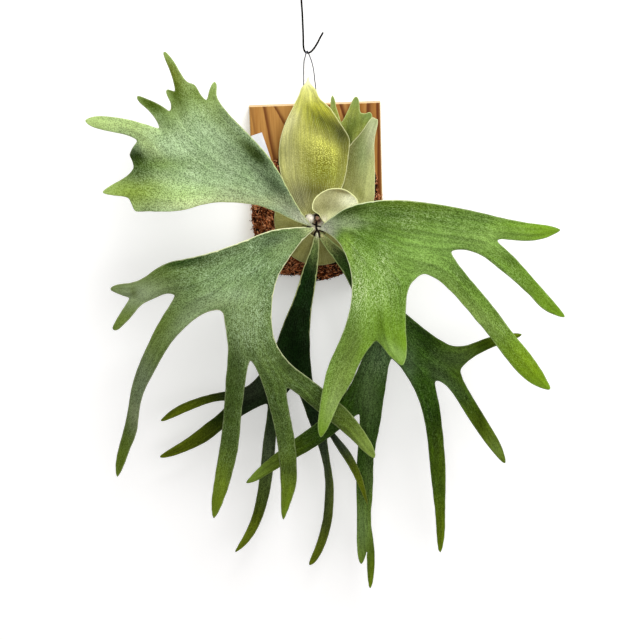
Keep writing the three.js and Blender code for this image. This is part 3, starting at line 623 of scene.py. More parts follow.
def paint_on(mesh: Mesh, drawn: Array, paints: Paint) -> Array:
    """Keeps a soft painting at a mesh's vertices, as a colour and how much of it there is.

    Args:
        mesh: The mesh to paint.
        drawn: Where its vertices appear from the front.
        paints: The spots, from the first one laid to the last, each with its colour.

    Returns:
        How much of a dark colour each vertex has.
    """
    dark_below = 0.06
    paint = np.zeros((len(drawn), 4))
    for spot, colour in paints:
        cover = np.minimum(spot.cover(drawn), 1)[:, None]
        keep = paint[:, 3:] * (1 - cover)
        alpha = keep + cover
        mixed = (paint[:, :3] * keep + np.array(colour[:3]) * cover) / np.maximum(alpha, 1e-6)
        paint = np.hstack([mixed, alpha])
    mesh.attributes.new("patch", "FLOAT_COLOR", "POINT").data.foreach_set("color", paint.ravel())
    return paint[:, 3] * np.clip(1 - paint[:, :3].mean(axis=1) / dark_below, 0, 1)


GRAIN = leaf_grain()
FELT = felt_of_hairs()
# Painted shade in the gaps at the crown and round the bud.
GAP_SHADE = tone(26, 13, 8)


@dataclass(frozen=True)
class LeafFinish:
    """The colours and surface of one leaf."""

    blade: Colour
    deep: Colour
    foot: Colour
    tip: Colour
    margin: Colour
    hair: Colour
    foot_reach: float = 22 * MM
    foot_full: float = 10 * MM
    tip_reach: float = 40 * MM
    tip_share: float = 0.85
    margin_width: float = 1.6 * MM
    margin_share: float = 0.85
    margin_far: float = 0.25
    margin_fades: float = 150 * MM
    hairs: float = 0.5
    dashes: float = 0.6
    stipple: float = 0.2
    streaks: float = 0.2
    veins: float = 0.1
    vein_colour: Colour = tone(190, 200, 130)
    roughness: float = 0.55
    gloss: float = 0.05
    pebbles: float = 0.0
    pebble_colour: Colour = tone(112, 110, 14)

    CLOUD_SIZE = 26 * MM
    CLOUD_EDGE = 0.36, 0.66
    STREAK_EDGE = 0.3, 0.7
    DARK_CLUMPS = 0.52, 0.41
    LIGHT_CLUMPS = 0.53, 0.64
    LIGHT_SHARE = 0.7
    HAIRY_CLUMPS = 0.46, 0.6
    DASH_EDGE = 0.58, 0.68
    STIPPLE_AT_TIP = 0.4
    HAIRS_AT_TIP = 0.3
    HAIRS_ON_PAINT = 0.45
    UNDERSIDE_HAIRS = 0.5
    FULL_WITHIN = 0.4
    PEBBLE_SIZE = 1.5 * MM
    PEBBLE_EDGE = 0.28, 0.55
    PEBBLE_DEPTH = 0.6 * MM
    RELIEF = 0.16 * MM
    SHEEN = {Side.UPPER: 0.02, Side.UNDER: 0.12}
    SHEEN_ROUGHNESS = 0.45

    def material(self, name: str, side: Side) -> bpy.types.Material:
        """Makes the leaf's material for one of its faces.

        Args:
            name: The leaf's name.
            side: The face that it is for.

        Returns:
            The material.
        """
        material, shading, shader = new_material(f"{name}_{side.value}")
        where = shading.spot()
        fields = {"Across": "across", "Forks": "forks", "Along": "foot"}
        grain = shading.node("ShaderNodeGroup", fields, node_tree=GRAIN).outputs
        fields = {"Position": where, "Fleck": grain["Fleck"]}
        felt = shading.node("ShaderNodeGroup", fields, node_tree=FELT).outputs
        clumps = felt["Clumps"]
        streak = shading.between(grain["Streak"], *self.STREAK_EDGE, (1 - self.streaks, 1 + self.streaks))
        shade = shading.times(streak, self.speckle(shading, clumps))
        colour = shading.vary(self.ground(shading, where), shade)
        vein = shading.times(grain["Vein"], shading.between("dark", 0, 0.8, (self.veins, 0)))
        colour = shading.blend(vein, colour, self.vein_colour)
        relief = shading.bump(grain["Vein"], self.RELIEF, 0.6)
        if self.pebbles:
            pits = shading.cells(where, self.PEBBLE_SIZE)
            dot = shading.times(shading.between(pits, *self.PEBBLE_EDGE, (0, self.pebbles)), "pebble")
            colour = shading.blend(dot, colour, self.pebble_colour)
            relief = shading.bump(shading.times(pits, "pebble"), -self.PEBBLE_DEPTH, 0.8, relief)
        bloom = self.bloom(shading, clumps, grain["Fleck"])
        colour = shading.blend(bloom, colour, self.hair)
        colour = shading.blend(self.edge(shading), colour, self.margin)
        if side is Side.UNDER:
            colour = shading.blend(self.UNDERSIDE_HAIRS, colour, self.hair)
        rough = shading.math("MULTIPLY_ADD", bloom, 0.3, self.roughness)
        shading.fill(shader, {
            # Painted near-black shade in the gaps between the leaf bases at the crown.
            "Base Color": shading.blend(shading.between("gap", *GAP_SHADE_EDGE), colour, GAP_SHADE),
            "Roughness": shading.math("MULTIPLY_ADD", clumps, 0.12, rough, clamp=True),
            "Specular IOR Level": self.gloss,
            "Sheen Weight": self.SHEEN[side],
            "Sheen Roughness": self.SHEEN_ROUGHNESS,
            "Normal": shading.bump(felt["Height"], self.RELIEF, 0.7, relief),
        })
        return material

    def ground(self, shading: Shading, where: Socket) -> Socket:
        """The blade's colour, from foot to tips, with its soft painted patches, partly its own tones and
        partly painted shade and painted highlight.

        Args:
            shading: The material's node tree.
            where: The position on the piece.

        Returns:
            The colour.
        """
        cloud = shading.between(shading.noise(where, self.CLOUD_SIZE, 4, 0.6), *self.CLOUD_EDGE, (0, 0.8))
        colour = shading.blend(cloud, self.blade, self.deep)
        near_tip = shading.between("tip", self.tip_reach, self.tip_reach * 0.15)
        colour = shading.blend(shading.times(near_tip, self.tip_share), colour, self.tip)
        near_foot = shading.between("foot", self.foot_reach, self.foot_full)
        return shading.patched(shading.blend(near_foot, colour, self.foot))

    def speckle(self, shading: Shading, clumps: Socket) -> Socket:
        """Dark and light stipple between the clumps of hairs, calmer near the tips.

        Args:
            shading: The material's node tree.
            clumps: Where the hairs stand in clumps.

        Returns:
            What the blade's colour is multiplied by.
        """
        dark = shading.between(clumps, *self.DARK_CLUMPS, (1, 1 - self.stipple))
        light = shading.between(clumps, *self.LIGHT_CLUMPS, (1, 1 + self.LIGHT_SHARE * self.stipple))
        calm = shading.between("tip", 0, self.tip_reach, (self.STIPPLE_AT_TIP, 1))
        return shading.math("POWER", shading.times(dark, light), calm)

    def bloom(self, shading: Shading, clumps: Socket, fleck: Socket) -> Socket:
        """The pale hairs, thinner near the tips and on painted patches.

        Args:
            shading: The material's node tree.
            clumps: Where the hairs stand in clumps.
            fleck: Where dashes of hairs run along the veins.

        Returns:
            How much of the surface the hairs cover.
        """
        painted = shading.node("ShaderNodeAttribute", attribute_name="patch").outputs["Alpha"]
        fewer_at_tip = shading.between("tip", 0, self.tip_reach, (self.HAIRS_AT_TIP, 1))
        fewer_on_paint = shading.between(painted, 0.2, 1.0, (1, self.HAIRS_ON_PAINT))
        density = shading.times("frost", self.hairs, fewer_at_tip, fewer_on_paint)
        dashes = shading.between(fleck, *self.DASH_EDGE, (0, self.dashes))
        felted = shading.math("ADD", shading.between(clumps, *self.HAIRY_CLUMPS), dashes)
        return shading.math("MULTIPLY", felted, density, clamp=True)

    def edge(self, shading: Shading) -> Socket:
        """The pale margin: a thin line along the rim, which fades towards the tips.

        Args:
            shading: The material's node tree.

        Returns:
            How much of the margin's colour there is.
        """
        line = shading.between("rim", self.margin_width, self.margin_width * self.FULL_WITHIN)
        near, shares = self.margin_fades * self.FULL_WITHIN, (self.margin_far, self.margin_share)
        return shading.times(line, shading.between("foot", self.margin_fades, near, shares))


@dataclass(frozen=True)
class Rim:
    """The rim of a sheet: its corners in order, and the distance along it to each."""

    loop: Array
    run: Array
    length: float

    TIP_WINDOW = 8 * MM
    TIP_TURN = math.radians(75)
    CLEAR_OF_CROWN = 30

    def at(self, line: Array, distance: Array) -> Array:
        """Finds points part of the way round the rim.

        Args:
            line: A point for each of the rim's corners.
            distance: How far along the rim to look.

        Returns:
            The point at each distance.
        """
        wrapped = np.mod(distance, self.length)
        ends = np.append(self.run, self.length)
        columns = [np.interp(wrapped, ends, np.append(column, column[0])) for column in line.T]
        return np.stack(columns, axis=1)

    def find_tips(self, drawn: Array) -> Array:
        """Finds the tips of a leaf's lobes, where the rim turns back on itself.

        Args:
            drawn: Where the rim's corners appear from the front.

        Returns:
            The distance along the rim to each tip, in order.
        """
        into = self.at(drawn, self.run) - self.at(drawn, self.run - self.TIP_WINDOW)
        out = self.at(drawn, self.run + self.TIP_WINDOW) - self.at(drawn, self.run)
        turn = np.arctan2(into[:, 0] * out[:, 1] - into[:, 1] * out[:, 0], (into * out).sum(1))
        after = np.roll(drawn, -1, axis=0)
        turn *= np.sign((drawn[:, 0] * after[:, 1] - drawn[:, 1] * after[:, 0]).sum())
        clear = np.linalg.norm(drawn - np.array(CROWN), axis=1) > self.CLEAR_OF_CROWN
        tips = []
        for index in np.flatnonzero((turn > self.TIP_TURN) & clear):
            gap = np.abs(np.mod(self.run - self.run[index] + self.length / 2, self.length) - self.length / 2)
            if turn[index] >= turn[gap < 1.5 * self.TIP_WINDOW].max():
                tips.append(self.run[index])
        return np.array(tips)

    def nearest(self, drawn: Array, points: tuple[Drawn, ...]) -> Array:
        """The distance along the rim to the corner that lies nearest to each of some drawn points."""
        return self.run[[np.linalg.norm(drawn - np.array(point), axis=1).argmin() for point in points]]


class Net:
    """A sheet as a net: its corners and the edges between them."""

    SLOPE_ROUNDS = 4
    SOLVE_ROUNDS = 700
    SOLVE_ENOUGH = 1e-7

    def __init__(self, mesh: Mesh) -> None:
        """Reads a sheet.

        Args:
            mesh: The sheet's mesh.
        """
        self.places = corners(mesh)
        self.ends = read_rows(mesh.edges, "vertices", 2, int)
        self.degree = np.bincount(self.ends.ravel(), minlength=len(self.places))
        used = read_rows(mesh.loops, "edge_index", 1, int)[:, 0]
        self.rim_edges = self.ends[np.bincount(used, minlength=len(self.ends)) == 1]

    def on_rim(self) -> Array:
        """Which corners lie on the rim."""
        return np.isin(np.arange(len(self.places)), self.rim_edges)

    def mean_beside(self, values: Array) -> Array:
        """The mean of a number over each corner's neighbours."""
        (a, b), count = self.ends.T, len(self.places)
        return (np.bincount(a, values[b], count) + np.bincount(b, values[a], count)) / self.degree

    def edge_lengths(self) -> Array:
        """The length of each edge."""
        return np.linalg.norm(self.places[self.ends[:, 0]] - self.places[self.ends[:, 1]], axis=1)

    def rim(self) -> Rim:
        """Follows the edges round the rim.

        Returns:
            The rim.
        """
        beside: dict[int, list[int]] = {}
        for a, b in self.rim_edges.tolist():
            beside.setdefault(a, []).append(b)
            beside.setdefault(b, []).append(a)
        before, loop = -1, [next(iter(beside))]
        while True:
            onward = next(corner for corner in beside[loop[-1]] if corner != before)
            if onward == loop[0]:
                break
            before = loop[-1]
            loop.append(onward)
        steps = np.linalg.norm(self.places[loop] - np.roll(self.places[loop], -1, axis=0), axis=1)
        return Rim(np.array(loop), np.concatenate([[0], np.cumsum(steps)[:-1]]), steps.sum())

    def slope(self, values: Array) -> Array:
        """How fast a number changes over the sheet.

        Args:
            values: The number at each corner.

        Returns:
            Its change for a metre, at each corner, evened out a little.
        """
        square = ((values[self.ends[:, 0]] - values[self.ends[:, 1]]) / self.edge_lengths()) ** 2
        total = np.bincount(self.ends.ravel(), np.repeat(square, 2), len(self.places))
        steep = np.sqrt(2 * total / self.degree)
        for _ in range(self.SLOPE_ROUNDS):
            steep = (steep + self.mean_beside(steep)) / 2
        return steep

    def spread(self, value: Array, free: Array) -> Array:
        """Spreads a number smoothly over the sheet from the corners where it is known.

        Args:
            value: The number at each corner, with a guess where it isn't known.
            free: Which corners it isn't known at.

        Returns:
            The number at each corner.
        """
        (a, b), count = self.ends.T, len(self.places)
        weight = 1 / self.edge_lengths()
        scale = np.bincount(self.ends.ravel(), np.repeat(weight, 2), count)

        def pull(numbers: Array) -> Array:
            """How hard each free corner is pulled towards its neighbours."""
            across = weight * (numbers[a] - numbers[b])
            return np.where(free, np.bincount(a, across, count) - np.bincount(b, across, count), 0)

        rest = -pull(value)
        step = rest / scale
        size = (rest * step).sum()
        goal = size * self.SOLVE_ENOUGH
        for _ in range(self.SOLVE_ROUNDS):
            pulled = pull(step)
            share = size / (step * pulled).sum()
            value += share * step
            rest -= share * pulled
            eased = rest / scale
            fresh = (rest * eased).sum()
            if fresh < goal:
                break
            step = eased + fresh / size * step
            size = fresh
        return value


@dataclass(frozen=True)
class Vessels:
    """How a leaf's veins run.

    Without a centre they run from the foot to the tips. With one, they fan out from it.
    """

    foot: Drawn = CROWN
    foot_width: float = 5 * MM
    tips: tuple[Drawn, ...] = ()
    centre: Drawn | None = None
    spacing: float = 2.4 * MM

    TIP_WIDTH = 6 * MM
    LEAST_SLOPE = 0.2
    MOST_FORKS = 10

    def run(self, net: Net, rim: Rim, tips: Array) -> tuple[Array, Array]:
        """Works out the veins over a leaf's sheet.

        Args:
            net: The sheet.
            rim: Its rim.
            tips: The distance along the rim to each tip.

        Returns:
            At each corner, the place across the leaf and how many times the veins have forked.
        """
        if self.centre:
            away = EYE.drawn(net.places) - np.array(self.centre)
            middle = away.mean(axis=0)
            turned = away[:, 0] * middle[1] - away[:, 1] * middle[0]
            across = np.arctan2(turned, away @ middle) / (2 * math.pi)
            slope = 1 / (2 * math.pi * np.maximum(np.linalg.norm(away, axis=1), 2) * MM)
        else:
            across = self.flow(net, rim, tips)
            slope = net.slope(across)
        forks = np.log2(1 / (self.spacing * np.maximum(slope, self.LEAST_SLOPE)))
        return across, np.clip(forks, 0, self.MOST_FORKS)

    def flow(self, net: Net, rim: Rim, tips: Array) -> Array:
        """Spreads a number over a sheet whose level lines run from the foot to the tips.

        Args:
            net: The sheet.
            rim: Its rim.
            tips: The distance along the rim to each tip.

        Returns:
            The number at each corner, from 0 along one margin to 1 along the other.
        """
        foot = rim.nearest(EYE.drawn(net.places[rim.loop]), (self.foot,))[0]
        past_foot = np.mod(rim.run - foot, rim.length)
        past_tips = np.sort(np.mod(tips - foot, rim.length))
        steps = [np.clip((past_foot - tip) / self.TIP_WIDTH + 0.5, 0, 1) for tip in past_tips]
        level = sum(steps) / max(1, len(tips))
        leaving = np.clip(past_foot / self.foot_width, 0, 0.5) * 2
        returning = np.clip((rim.length - past_foot) / self.foot_width, 0, 0.5) * 2
        value = np.full(len(net.places), 0.5)
        value[rim.loop] = 0.5 + (level - 0.5) * leaving * returning
        return net.spread(value, np.isin(np.arange(len(value)), rim.loop, invert=True))


@dataclass
class Leaf:
    """One leaf: a fine sheet over its solid's front face, given thickness, veins and a finish."""

    node: str
    finish: LeafFinish
    vessels: Vessels = Vessels()
    slot: str = "frond_leaf"
    paints: Paint = ()
    frosted: tuple[Spot, ...] = ()
    frost_all: float = 0.5
    pebbled: tuple[Spot, ...] = ()
    folds: tuple[tuple[Spot, float], ...] = ()
    pulls: tuple[tuple[Spot, Drawn], ...] = ()
    rim_angle: float = math.radians(62)
    edge_thickness: float = 0.9 * MM
    blade_thickness: float = 1.8 * MM
    stalk_thickness: float = 3.0 * MM
    stalk_length: float = 20 * MM
    ribs: float = 0.3 * MM
    pleats: float = 0.7 * MM
    spread: float = 0.8 * MM
    spread_reach: float = 4.5 * MM
    sway: float = 1.3 * MM
    frill: float = 0.6 * MM
    seed: int = 1

    FACING = 0.6
    SHEET_LEVELS = 2
    RELAX_ROUNDS = 10
    RELAX_SHARE = 0.6
    RIM_BESIDE = 2 * MM
    STILL_NEAR_CROWN = 25 * MM
    FREE_AFTER = 70 * MM
    SWAY_LENGTH = 85 * MM
    FRILL_LENGTH = 26 * MM
    FRILL_WIDTH = 6 * MM
    FROST_LENGTH = 34 * MM
    FROST_UNEVEN = 0.45
    EDGE_WIDTH = 8 * MM
    RIBS_FLAT_AT_RIM = 6 * MM
    RIBS_FLAT_AT_FOOT = 25 * MM
    RIB_FORKS = 2
    PLEAT_FORKS = 3.3

    def build(self) -> None:
        """Makes the leaf, from its sheet to its finish."""
        piece = self.sheet()
        self.settle(piece.data)
        self.measure(piece.data)
        self.thicken(piece)
        self.emboss(piece.data)
        piece.data.materials.clear()
        for side in Side:
            piece.data.materials.append(self.finish.material(self.node, side))
        dress(piece, self.slot, self.node)

    def sheet(self) -> Piece:
        """Takes the front face of the leaf's solid, and subdivides it.

        Returns:
            The sheet.
        """
        shape = merged_copy(self.node)
        towards = Vector(EYE.place()).normalized()
        start = max(
            shape.faces,
            key=lambda face: face.calc_area() * max(0.0, face.normal.dot(towards) - self.FACING),
        )
        front, waiting = {start}, [start]
        while waiting:
            for edge in waiting.pop().edges:
                if edge.calc_face_angle(math.pi) < self.rim_angle:
                    fresh = [face for face in edge.link_faces if face not in front]
                    front.update(fresh)
                    waiting.extend(fresh)
        LOG.info("%s: %d of %d faces are its front", self.node, len(front), len(shape.faces))
        bmesh.ops.delete(shape, geom=[face for face in shape.faces if face not in front], context="FACES")
        piece = piece_of(f"{self.node}_blade", shape)
        subdivide(piece, self.SHEET_LEVELS)
        return piece

    def settle(self, mesh: Mesh) -> None:
        """Evens the sheet out inside its rim, and gives the blade its sway and frilled margin.

        Args:
            mesh: The sheet's mesh.
        """
        net = Net(mesh)
        held = net.on_rim()
        places = net.places
        for _ in range(self.RELAX_ROUNDS):
            average = np.stack([net.mean_beside(column) for column in places.T], axis=1)
            places = np.where(held[:, None], places, places + self.RELAX_SHARE * (average - places))
        places = self.widen(places, net.ends, held)
        drawn = EYE.drawn(places)
        for spot, (sideways, up) in self.pulls:
            places = places + spot.cover(drawn)[:, None] * np.array([sideways, 0, up]) * MM
        set_corners(mesh, places)
        near_rim = np.exp(-distance_to(places, places[held]) / self.FRILL_WIDTH)
        wave = self.sway * ripple(places, self.SWAY_LENGTH, self.seed)
        wave += self.frill * near_rim * ripple(places, self.FRILL_LENGTH, self.seed + 50)
        wave *= np.clip((self.from_crown(places) - self.STILL_NEAR_CROWN) / self.FREE_AFTER, 0, 1)
        wave += sum(height * spot.cover(drawn) for spot, height in self.folds)
        raise_corners(mesh, wave)

    def widen(self, places: Array, ends: Array, held: Array) -> Array:
        """Lets the sheet out to the solid's own rim, which lies beyond its front face.

        Args:
            places: The sheet's corners.
            ends: The two corners of each edge.
            held: Which corners are on the rim.

        Returns:
            The corners' new places.
        """
        inward = np.zeros_like(places)
        for near, far in (ends.T, ends.T[::-1]):
            crossing = held[near] & ~held[far]
            np.add.at(inward, near[crossing], places[far[crossing]] - places[near[crossing]])
        rim = np.flatnonzero(held)
        tree = sorted_points(places[rim])
        beside = [rim[[found[1] for found in tree.find_range(at, self.RIM_BESIDE)]] for at in places[rim]]
        out = np.array([-inward[some].sum(axis=0) for some in beside])
        out /= np.maximum(np.linalg.norm(out, axis=1, keepdims=True), 1e-9)
        nearest = [tree.find(place)[1:] for place in places]
        index = np.array([found[0] for found in nearest])
        share = np.clip(1 - np.array([found[1] for found in nearest]) / self.spread_reach, 0, 1)
        return places + out[index] * (self.spread * share ** 2)[:, None]

    @staticmethod
    def from_crown(places: Array) -> Array:
        """Distance from the crown as it is drawn, in metres."""
        return np.linalg.norm(EYE.drawn(places) - np.array(CROWN), axis=1) * MM

    def measure(self, mesh: Mesh) -> None:
        """Works out what the finish reads: distances to rim, tips and crown, veins and patches.

        Args:
            mesh: The settled sheet's mesh.
        """
        net = Net(mesh)
        places, rim = net.places, net.rim()
        drawn = EYE.drawn(places)
        tips = rim.find_tips(drawn[rim.loop])
        if self.vessels.tips:
            tips = np.sort(rim.nearest(drawn[rim.loop], self.vessels.tips))
        LOG.info("%s: %d tips", self.node, len(tips))
        at_tips = [rim.loop[np.abs(rim.run - tip).argmin()] for tip in tips]
        across, forks = self.vessels.run(net, rim, tips)
        between = np.linspace(0, 1, 4, endpoint=False)[:, None, None]
        rim_points = places[rim.loop] * (1 - between) + np.roll(places[rim.loop], -1, axis=0) * between
        dark = paint_on(mesh, drawn, self.paints)
        frost = np.maximum(self.frost_all, strongest(self.frosted, drawn) if self.frosted else 0)
        uneven = 1 + self.FROST_UNEVEN * ripple(places, self.FROST_LENGTH, self.seed + 90)
        fields = {
            "across": across,
            "forks": forks,
            "rim": distance_to(places, rim_points.reshape(-1, 3)),
            # Painted shade from the gaps at the crown.
            "gap": strongest(SHADED_CROWN_GAPS, drawn),
            "foot": self.from_crown(places),
            "tip": distance_to(places, places[at_tips]) if at_tips else np.full(len(places), FAR_AWAY),
            "dark": dark,
            "frost": frost * np.clip(uneven, 0.3, 1.5) * (1 - dark),
        }
        if self.pebbled:
            fields["pebble"] = strongest(self.pebbled, drawn)
        for name, values in fields.items():
            write_field(mesh, name, values)
        lift = mesh.attributes.new("lift", "FLOAT_VECTOR", "POINT")
        lift.data.foreach_set("vector", corner_normals(mesh).ravel())

    def thicken(self, piece: Piece) -> None:
        """Gives the sheet its thickness, thin at the margin and stout at the stalk, with a rounded rim.

        Args:
            piece: The measured sheet.
        """
        mesh = piece.data
        full = np.clip(read_field(mesh, "rim") / self.EDGE_WIDTH, 0, 1)
        blade = self.edge_thickness + (self.blade_thickness - self.edge_thickness) * full
        stalk = np.exp(-((read_field(mesh, "foot") / self.stalk_length) ** 2))
        depth = blade + (self.stalk_thickness - blade) * stalk
        most = depth.max()
        group = piece.vertex_groups.new(name="depth")
        for index, share in enumerate((depth / most).tolist()):
            group.add([index], share, "REPLACE")
        finish_with(piece, "SOLIDIFY", thickness=most, offset=-1, vertex_group="depth", material_offset=1)
        subdivide(piece, 1)
        piece.vertex_groups.clear()
        smooth(piece)

    def emboss(self, mesh: Mesh) -> None:
        """Raises the main ribs and pleats on both faces of the blade.

        Args:
            mesh: The thickened leaf's mesh.
        """
        across = read_field(mesh, "across")
        near_rim = np.clip(read_field(mesh, "rim") / self.RIBS_FLAT_AT_RIM, 0, 1)
        near_foot = np.clip(read_field(mesh, "foot") / self.RIBS_FLAT_AT_FOOT, 0, 1)
        height = np.zeros(len(across))
        for fewer, size in ((self.RIB_FORKS, self.ribs), (self.PLEAT_FORKS, self.pleats)):
            forks = read_field(mesh, "forks") - fewer
            whole = np.floor(forks)
            part = forks - whole
            waves = [np.cos(2 * math.pi * across * 2 ** (whole + extra)) for extra in (0, 1)]
            height += size * (waves[0] * (1 - part) + waves[1] * part) * np.clip(forks, 0, 1)
        lift = read_rows(mesh.attributes["lift"].data, "vector", 3)
        set_corners(mesh, corners(mesh) + lift * (height * near_rim * near_foot)[:, None])
        mesh.attributes.remove(mesh.attributes["lift"])


SAGE = LeafFinish(
    blade=tone(173, 201, 148), deep=tone(147, 177, 122), foot=tone(222, 224, 200), tip=tone(160, 186, 98),
    margin=tone(206, 218, 150), hair=tone(206, 222, 188), foot_reach=50 * MM, hairs=0.52, stipple=0.54,
    streaks=0.08, veins=0.05, tip_reach=70 * MM, margin_far=0.15, margin_fades=260 * MM,
)
GREY_GREEN = LeafFinish(
    blade=tone(82, 105, 40), deep=tone(62, 87, 22), foot=tone(176, 186, 128), tip=tone(92, 112, 20),
    margin=tone(218, 222, 176), hair=tone(176, 198, 160), foot_reach=32 * MM, hairs=0.62, stipple=0.52,
    streaks=0.16, dashes=0.8, tip_reach=150 * MM, margin_share=1.0, margin_far=0.13, margin_fades=260 * MM,
)
BRIGHT = LeafFinish(
    blade=tone(114, 152, 54), deep=tone(92, 132, 30), foot=tone(232, 230, 214), tip=tone(112, 150, 20),
    margin=tone(226, 238, 184), hair=tone(208, 226, 170), foot_reach=38 * MM, hairs=0.58, stipple=0.46,
    dashes=1.0, streaks=0.14, tip_reach=120 * MM, margin_share=1.0, margin_far=0.13, margin_fades=190 * MM,
)
SHADED = LeafFinish(
    blade=tone(9, 36, 2), deep=tone(3, 22, 0), foot=tone(140, 146, 96), tip=tone(96, 108, 14),
    margin=tone(168, 176, 118), hair=tone(104, 120, 98), foot_reach=34 * MM, hairs=0.12, stipple=0.6,
    streaks=0.25, veins=0.03, tip_reach=130 * MM, margin_share=0.95, margin_far=0.12,
    margin_fades=200 * MM, roughness=0.5, gloss=0.02,
)
# Partly the frond's own deep green and partly painted shade, as it hangs under the fronds in front of it.
SHADED_DEEP_GREEN = LeafFinish(
    blade=tone(45, 78, 2), deep=tone(29, 60, 0), foot=tone(150, 156, 100), tip=tone(104, 124, 10),
    margin=tone(150, 166, 104), hair=tone(132, 152, 108), foot_reach=34 * MM, hairs=0.3, stipple=0.56,
    dashes=1.0, streaks=0.3, veins=0.04, tip_reach=150 * MM, margin_share=0.9, margin_far=0.15,
    margin_fades=200 * MM, roughness=0.5, gloss=0.03,
)

YELLOW_SHIELD = LeafFinish(
    blade=tone(172, 170, 84), deep=tone(141, 140, 44), foot=tone(160, 154, 102), tip=tone(240, 240, 110),
    margin=tone(240, 240, 180), hair=tone(240, 240, 200), hairs=0.1, stipple=0.16, streaks=0.26, veins=0.5,
    vein_colour=tone(236, 236, 178), tip_reach=34 * MM, margin_width=1.3 * MM, margin_share=0.55,
    margin_far=0.6, pebbles=0.74, foot_reach=14 * MM,
)
OLIVE_SHIELD = LeafFinish(
    blade=tone(172, 168, 101), deep=tone(149, 144, 75), foot=tone(150, 142, 90), tip=tone(150, 150, 92),
    margin=tone(196, 196, 136), hair=tone(200, 200, 150), hairs=0.15, streaks=0.14, veins=0.24,
    foot_reach=16 * MM,
)
GREEN_SHIELD = LeafFinish(
    blade=tone(166, 174, 80), deep=tone(144, 152, 56), foot=tone(170, 176, 104), tip=tone(118, 142, 76),
    margin=tone(206, 216, 146), hair=tone(186, 200, 150), hairs=0.3, streaks=0.16, veins=0.16,
    tip_reach=26 * MM, margin_width=1.2 * MM, margin_share=0.6, margin_far=0.55,
)
PALE_SHIELD = LeafFinish(
    blade=tone(138, 131, 70), deep=tone(116, 109, 48), foot=tone(176, 172, 106), tip=tone(160, 172, 116),
    margin=tone(236, 236, 180), hair=tone(216, 222, 180), hairs=0.2, streaks=0.16, veins=0.24,
    tip_reach=30 * MM, margin_width=1.3 * MM, margin_share=0.5, margin_far=0.5,
)
CREAM_SHIELD = LeafFinish(
    blade=tone(184, 181, 124), deep=tone(166, 163, 108), foot=tone(206, 196, 160), tip=tone(214, 214, 168),
    margin=tone(240, 242, 176), hair=tone(236, 234, 208), hairs=0.12, streaks=0.08, veins=0.12,
    margin_width=1.8 * MM, margin_share=0.95, margin_far=0.95, foot_reach=10 * MM, foot_full=4 * MM,
    roughness=0.42, gloss=0.16,
)

FROND_UPPER_LEFT = Leaf(
    "frond_upper_left", SAGE, seed=3, ribs=0.18 * MM, pleats=0.28 * MM,
    # Partly the frond's own tones, partly painted shade: the dark dabs at (-256, 44) and (-86, 48) stand for
    # shade where the blade folds and turns away from the light.
    paints=(
        dab((-284, 96), (60, 14), (208, 236, 148), 0.75, -8),
        dab((-252, -2), (46, 28), (138, 163, 40), 0.85, 8),
        dab((-188, -11), (50, 16), (214, 250, 142)),
        dab((-193, 47), (18, 18), (224, 255, 196)),
        dab((-225, 122), (30, 14), (68, 90, 0), 1.1, -28),
        dab((-194, 142), (12, 38), (64, 84, 2), 1.1, 16),
        dab((-160, 134), (26, 16), (90, 112, 30), 0.8),
        dab((-195, 166), (14, 30), (98, 108, 6), 0.8, 45),
        dab((-257, 23), (30, 14), (58, 80, 0), 0.6),
        dab((-256, 44), (30, 20), (26, 50, 0), 1.2),
        dab((-216, 38), (52, 13), (90, 120, 32), 0.75),
        dab((-86, 48), (34, 11), (26, 44, 0), 1.2, -46),
        dab((-52, -8), (62, 14), (10, 34, 0), 0.85, -50),
        dab((-130, 92), (60, 12), (84, 104, 30), 0.6, -46),
        dab((-130, -22), (80, 9), (240, 250, 184), 0.7),
        dab((-26, -44), (34, 11), (228, 232, 198), 0.65, -32),
        dab((-213, 98), (10, 30), (60, 88, 6), 0.5, 45),
        dab((-120, 100), (10, 30), (28, 30, 0), 0.5, 45),
        dab((-240, 68), (10, 30), (226, 255, 160), 0.5, 45),
        dab((-44, -22), (28, 8), (96, 116, 76), 0.5, -40),
        dab((-125, -7), (34, 10), (222, 240, 178), 0.45),
        dab((-123, 47), (18, 18), (116, 136, 96), 0.4),
    ),
    folds=((Spot((-120, 70), (70, 14), slant=-46), 1.6 * MM), (Spot((-230, 42), (50, 10)), -1.8 * MM)),
)
FROND_LOWER_LEFT = Leaf(
    "frond_lower_left", GREY_GREEN, seed=5, frost_all=0.18, spread=1.1 * MM, pleats=0.5 * MM,
    paints=(
        dab((-115, -118), (80, 46), (124, 155, 101), 0.7, 20),
        dab((-112, -190), (34, 60), (134, 156, 104)),
        dab((-189, -186), (50, 16), (160, 180, 136), 0.5, 45),
        dab((-188, -103), (42, 9), (34, 60, 2), 1.2, 8),
        dab((-126, -88), (30, 14), (4, 8, 0)),
        dab((-60, -76), (34, 12), (22, 32, 38), 0.6, 6),
        dab((-43, -85), (30, 14), (160, 186, 124), 0.4, 45),
        dab((-262, -150), (44, 22), (150, 166, 128), 0.8),
        dab((-262, -290), (30, 80), (126, 138, 114), 0.6, 14),
        dab((-270, -146), (5, 10), (92, 108, 46), 0.7, 10),
        dab((-126, -260), (14, 30), (10, 28, 0)),
        dab((-140, -320), (14, 90), (40, 60, 0)),
        dab((-150, -168), (26, 8), (150, 170, 118)),
        dab((64, -393), (30, 30), (172, 200, 98)),
        dab((-166, -470), (30, 60), (124, 146, 24), 0.6),
        dab((-60, -480), (24, 60), (116, 142, 20), 0.6),
        dab((-50, -266), (10, 30), (4, 10, 0), 0.5, 45),
        dab((-280, -334), (10, 30), (160, 168, 130)),
        dab((-165, -107), (30, 10), (60, 76, 34), 0.4),
        dab((-59, -423), (30, 12), (24, 38, 0)),
        dab((-118, -156), (30, 10), (164, 188, 142), 0.4),
        dab((-91, -127), (10, 30), (64, 90, 50), 0.4, 45),
    ),
    frosted=(Spot((-115, -118), (90, 56)), Spot((-100, -190), (40, 60), 0.9)),
    folds=((Spot((-120, -82), (110, 10), slant=14), -1.8 * MM),),
)
